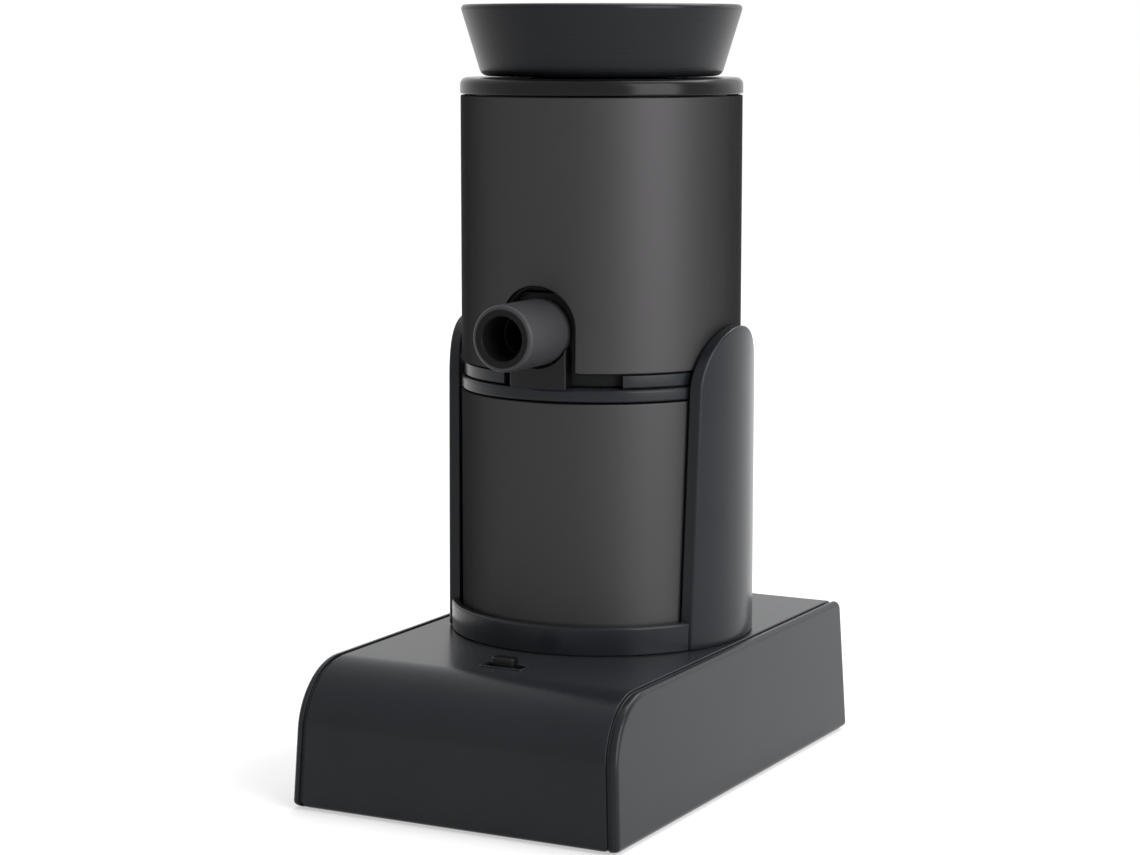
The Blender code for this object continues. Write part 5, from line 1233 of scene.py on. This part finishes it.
@dataclass
class Battery(Assembly):
    """Cells, contact springs, and the grip ribs on the door."""

    nub: float = 2.7 * MM
    nub_length: float = 1.2 * MM
    nub_edge: float = 0.4 * MM
    jacket_edge: float = 0.5 * MM
    lap: float = 0.9 * MM
    lap_step: float = 0.1 * MM
    dimple: float = 0.15 * MM
    groove: float = 0.3 * MM
    collar: float = 0.6 * MM
    collar_round: float = 0.2 * MM
    band_share: float = 0.26
    spring_wire: float = 0.35 * MM
    spring_turns: int = 3
    turn_points: int = 32
    spring_taper: float = 0.48
    rib_count: int = 5
    rib_points: int = 61
    rib_pitch: float = 1.3 * MM
    rib_half: float = 9.0 * MM
    rib_top: float = 1.5 * MM
    rib_fade: float = 0.8 * MM
    rib_depth: float = 0.3 * MM
    rib_back: float = 0.7 * MM
    rib_wave: float = 0.65 * MM

    def build(self) -> None:
        """Build every cell and spring, and the ribs."""
        for number in range(1, 5):
            self.cell("cell_%d" % number, nub_forward=number % 2 == 1)
        for node in ("front_spring_1", "front_spring_2", "door_spring_1", "door_spring_2"):
            self.spring(node, wide_first=node.startswith("front"))
        self.ribs()

    def cell(self, node: str, nub_forward: bool) -> None:
        """Turn one cell in four stretches: end, jacket, band and terminal.

        Args:
            node: Name of the cell's solid.
            nub_forward: Whether its terminal nub points to the front.
        """
        solid = Solid(node)
        radius, length, nub = 0.5 * (solid.top - solid.bottom), solid.length, self.nub
        body = length - self.nub_length
        split = body * (1.0 - self.band_share)
        lap = radius - self.lap
        brink, sunk = lap + self.lap_step, body - self.groove
        steel_end = rounded([(0.0, self.dimple), (lap, 0.0), (brink, 0.0)])
        jacket = rounded([(brink, 0.0), (radius, 0.0, self.jacket_edge), (radius, split)], steps=5)
        sleeve = rounded([(radius, split), (radius, body, self.jacket_edge), (lap, body)], steps=5)
        terminal = rounded([
            (lap, body), (lap - self.groove, sunk), (nub + self.collar, sunk, self.collar_round),
            (nub, body, self.collar_round), (nub, length, self.nub_edge), (0.0, length),
        ], steps=4)
        start = (solid.axis[0], solid.rear if nub_forward else solid.front, solid.level)
        way = FORWARD if nub_forward else -FORWARD
        stretches = ((steel_end, 0), (jacket, 1), (sleeve, 2), (terminal, 0))
        patches = [swung(path, start, way, LESSER, slot) for path, slot in stretches]
        self.dress(node, patches, NICKEL, JACKET, JACKET_BAND)

    def spring(self, node: str, wide_first: bool) -> None:
        """Wind one conical spring: the radius narrows and the wire runs on evenly with the angle.

        Args:
            node: Name of the spring's solid.
            wide_first: Whether its wide end is at its low Y.
        """
        solid = Solid(node)
        thin = self.spring_wire
        wide = solid.radius - thin
        share = np.linspace(0.0, 1.0, self.spring_turns * self.turn_points + 1)
        angle = TURN * self.spring_turns * share
        radius = wide + (self.spring_taper * wide - wide) * share
        run = share if wide_first else 1.0 - share
        x, z = solid.axis[0] + radius * np.cos(angle), solid.level + radius * np.sin(angle)
        path = grid(x, solid.front + thin + run * (solid.length - 2.0 * thin), z)
        self.dress(node, wire(path, thin), NICKEL, even=False)

    def ribs(self) -> None:
        """Raise the door's grip ribs: the height is a cosine over each rib and fades at both ends."""
        door = Solid("battery_door")
        top, half = door.top - self.rib_top, self.rib_half
        heights = np.linspace(top - self.rib_count * self.rib_pitch, top, self.rib_points)
        x, z = np.meshgrid(np.linspace(-half, half, self.rib_points), heights)
        fade = np.clip((half - np.abs(x)) / self.rib_fade, 0.0, 1.0)
        wave = 0.5 - 0.5 * np.cos(TURN * (top - z) / self.rib_pitch)
        face = door.rear - DRAFT * (z - door.bottom)
        ridge = face - self.rib_depth + self.rib_wave * wave * np.sqrt(fade)
        slab = between(grid(x, ridge, z), grid(x, face - self.rib_back, z))
        self.dress("battery_door", slab, MOULDED_ABS, name="door_grip_ribs", hides=False, even=False)


@dataclass
class FanHousing(Assembly):
    """Fan housing with its spout, and the cover with its inlet, which show when the barrel is lifted."""

    spout: float = 5.4 * MM
    spout_bore: float = 4.2 * MM
    spout_edge: float = 0.4 * MM
    spout_root: float = 1.0 * MM
    inlet: float = 10.0 * MM
    inlet_round: float = 0.7 * MM
    wall: float = 4.0 * MM
    floor: float = 1.6 * MM
    floor_round: float = 0.5 * MM
    shaft_hole: float = 3.6 * MM
    edge: float = 0.3 * MM
    seam: float = 0.2 * MM
    cover_gap: float = 0.3 * MM
    cover_edge: float = 0.4 * MM

    def build(self) -> None:
        """Turn housing, spout and cover."""
        cover, housing = Solid("fan_cover"), Solid("fan_housing")
        centre, radius, low, top = cover.axis, cover.radius, housing.bottom, housing.top
        bore, hole, floor = radius - self.wall, self.shaft_hole, low + self.floor
        end = (radius, housing.level)
        profile = rounded([
            end, (radius, top, self.edge), (bore, top, self.seam), (bore, floor, self.floor_round),
            (hole, floor, self.seam), (hole, low), (radius, low, self.edge), end,
        ])
        length = centre[1] - radius - housing.front
        spout, spout_bore = self.spout, self.spout_bore
        pipe = rounded([
            (spout, 0.0), (spout, length, self.spout_edge), (spout_bore, length, self.edge),
            (spout_bore, 0.0), (spout, 0.0),
        ], steps=5)
        pipe[:, 1] *= (length + self.spout_root) / length
        start = (centre[0], housing.front + length + self.spout_root, Solid("nozzle").level)
        patches = [spun(profile, centre, FINE), swung(pipe, start, FORWARD, LESSER)]
        self.dress("fan_housing", patches, INNER_ABS)
        edges = (self.cover_edge, self.inlet_round, self.edge, self.seam)
        lid = band(radius, self.inlet, top + self.cover_gap, cover.top, edges)
        self.dress("fan_cover", [spun(lid, centre, FINE)], INNER_ABS)


@dataclass
class InnerWorks(Assembly):
    """Solids that hardly show: each gets a welded copy with softened edges and its own finish."""

    edge: float = 0.15 * MM

    def finishes(self) -> dict[Finish, tuple[str, ...]]:
        """List the solids that each finish is for.

        Returns:
            Names of the solids by finish.
        """
        return {
            INNER_ABS: (
                "battery_bay", "switch_body", "lower_chassis", "handset_floor", "motor_end_bell", "impeller",
            ),
            MOULDED_ABS: ("bottom_plate", "battery_door"),
            NICKEL: (
                "front_contact_positive", "front_contact_negative", "front_bridge_1", "door_bridge_1",
                "door_bridge_2", "door_hinge_pin", "motor_can", "motor_screw_left", "motor_screw_right",
                "motor_shaft",
            ),
            BRASS: ("contact_leaf_centre", "contact_leaf_outer", "motor_bush"),
            FERRITE: ("motor_magnet",),
            WINDING: ("motor_armature",),
            RED_PVC: ("lead_cells_to_switch", "lead_switch_to_stud", "motor_lead_positive"),
            BLACK_PVC: ("lead_cells_to_stud", "motor_lead_negative"),
        }

    def build(self) -> None:
        """Copy, weld and dress each solid; the round leads have no edges to soften."""
        for finish, nodes in self.finishes().items():
            edge = 0.0 if finish in (RED_PVC, BLACK_PVC) else self.edge
            for node in nodes:
                copy = finished(node + "_skin", self.frame["nodes"][node].data.copy(), [finish])
                self.show(copy, node, edge=edge, even=False)


@dataclass
class Studio:
    """Pale floor, soft lamps, white surroundings and the camera of the photograph."""

    photo_width: float = 1140.0
    focal_pixels: float = 2814.0
    camera_place: tuple[float, float, float] = (0.275467, -0.528732, 0.158073)
    pitch: float = 7.988
    azimuth: float = 27.824
    sensor: float = 36.0
    clip: float = 0.01
    ambient: float = 0.35
    floor_colour: str = "c4c4c4"
    floor_roughness: float = 0.9
    floor_radius: float = 6.0
    floor_drop: float = 0.02 * MM
    near: float = 0.15
    far: float = 0.9
    near_lift: float = 0.48
    far_lift: float = 0.82

    def build(self) -> None:
        """Set up floor, surroundings, lamps, camera and view."""
        self.floor()
        self.surroundings()
        low, centre, high = (0.0, 0.0, 0.05), (0.0, 0.0, 0.06), (0.0, 0.0, 0.10)
        self.lamp("key_strip", spot=(0.90, -0.29, 0.34), target=high, size=(0.7, 1.2), power=14.0)
        self.lamp("rim_softbox", spot=(0.65, 1.12, 0.50), target=centre, size=(1.0, 0.8), power=1.6)
        self.lamp("top_softbox", spot=(0.10, 0.40, 1.00), target=low, size=(0.9, 0.9), power=12.0)
        self.camera()
        bpy.context.scene.view_settings.view_transform = "Standard"

    def floor(self) -> None:
        """Lay a wide pale disc under the feet; it looks white where no shadow falls on it."""
        profile = np.array([(0.0, -self.floor_drop), (self.floor_radius, -self.floor_drop)])
        floor = skin("studio_floor", [spun(profile, (0.0, 0.0), MIDDLE)], [])
        material = bpy.data.materials.new("matt_white_paper")
        material.use_nodes = True
        tree = material.node_tree
        spot = add(tree, "TexCoord", {}).outputs["Object"]
        away = add(tree, "VectorMath", {0: spot}, operation="LENGTH").outputs["Value"]
        span = {0: away, 1: self.near, 2: self.far, 3: self.near_lift, 4: self.far_lift}
        lift = add(tree, "MapRange", span).outputs[0]
        strength = add(tree, "Math", {0: lift, 1: self.seen(tree, 0.0, 1.0)}, operation="MULTIPLY")
        connect(tree, tree.nodes["Principled BSDF"], {
            "Base Color": linear(self.floor_colour),
            "Roughness": self.floor_roughness,
            "Specular IOR Level": 0.0,
            "Emission Color": (1.0, 1.0, 1.0, 1.0),
            "Emission Strength": strength.outputs[0],
        })
        floor.data.materials.append(material)

    def seen(self, tree: bpy.types.NodeTree, hidden: float, shown: float) -> bpy.types.NodeSocket:
        """Give one value to rays that show a surface to the eye, in a mirror or through glass, else another.

        Args:
            tree: Node tree of the floor or the surroundings.
            hidden: Value for rays that only light the object.
            shown: Value for camera, glossy and transmission rays.
        Returns:
            The socket with the value.
        """
        path = add(tree, "LightPath", {}).outputs
        either = add(tree, "Math", {0: path["Is Camera Ray"], 1: path["Is Glossy Ray"]}, operation="MAXIMUM")
        rays = {0: either.outputs[0], 1: path["Is Transmission Ray"]}
        any_of = add(tree, "Math", rays, operation="MAXIMUM")
        return add(tree, "MapRange", {0: any_of.outputs[0], 3: hidden, 4: shown}).outputs[0]

    def surroundings(self) -> None:
        """Make the surroundings white to the eye and in reflections, and a softer light for all else."""
        world = bpy.data.worlds.new("white_studio")
        bpy.context.scene.world = world
        world.use_nodes = True
        tree = world.node_tree
        white = {"Color": (1.0, 1.0, 1.0, 1.0), "Strength": self.seen(tree, self.ambient, 1.0)}
        connect(tree, tree.nodes["Background"], white)

    def lamp(
        self, name: str, spot: Sequence[float], target: Sequence[float], size: Axis, power: float
    ) -> None:
        """Hang one soft box.

        Args:
            name: Name of the lamp.
            spot: Where it hangs.
            target: What it points at.
            size: Its width and height.
            power: Its power in watts.
        """
        light = bpy.data.lights.new(name, "AREA")
        light.shape = "RECTANGLE"
        light.size, light.size_y = size
        light.energy = power
        lamp = bpy.data.objects.new(name, light)
        bpy.context.collection.objects.link(lamp)
        lamp.location = spot
        aim = Vector(target) - Vector(spot)
        lamp.rotation_euler = aim.to_track_quat("-Z", "Y").to_euler()

    def camera(self) -> None:
        """Place the camera that the photograph was taken with."""
        data = bpy.data.cameras.new("photo_camera")
        data.sensor_width = self.sensor
        data.lens = self.focal_pixels * self.sensor / self.photo_width
        data.clip_start = self.clip
        camera = bpy.data.objects.new("photo_camera", data)
        bpy.context.collection.objects.link(camera)
        camera.location = self.camera_place
        camera.rotation_euler = (math.radians(90.0 - self.pitch), 0.0, math.radians(self.azimuth))
        bpy.context.scene.camera = camera


def main() -> None:
    """Load the frame, build every sub-assembly in order, and set up the studio."""
    logging.basicConfig(level=logging.INFO, format="%(message)s")
    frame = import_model()
    assemblies: tuple[type[Assembly], ...] = (
        StandShell, Cradle, SlideSwitch, LowerHandset, Barrel, BurnBowl, Nozzle, Underside, Battery,
        FanHousing, InnerWorks,
    )
    for assembly in assemblies:
        assembly(frame).build()
    Studio().build()


if __name__ == "__main__":
    main()
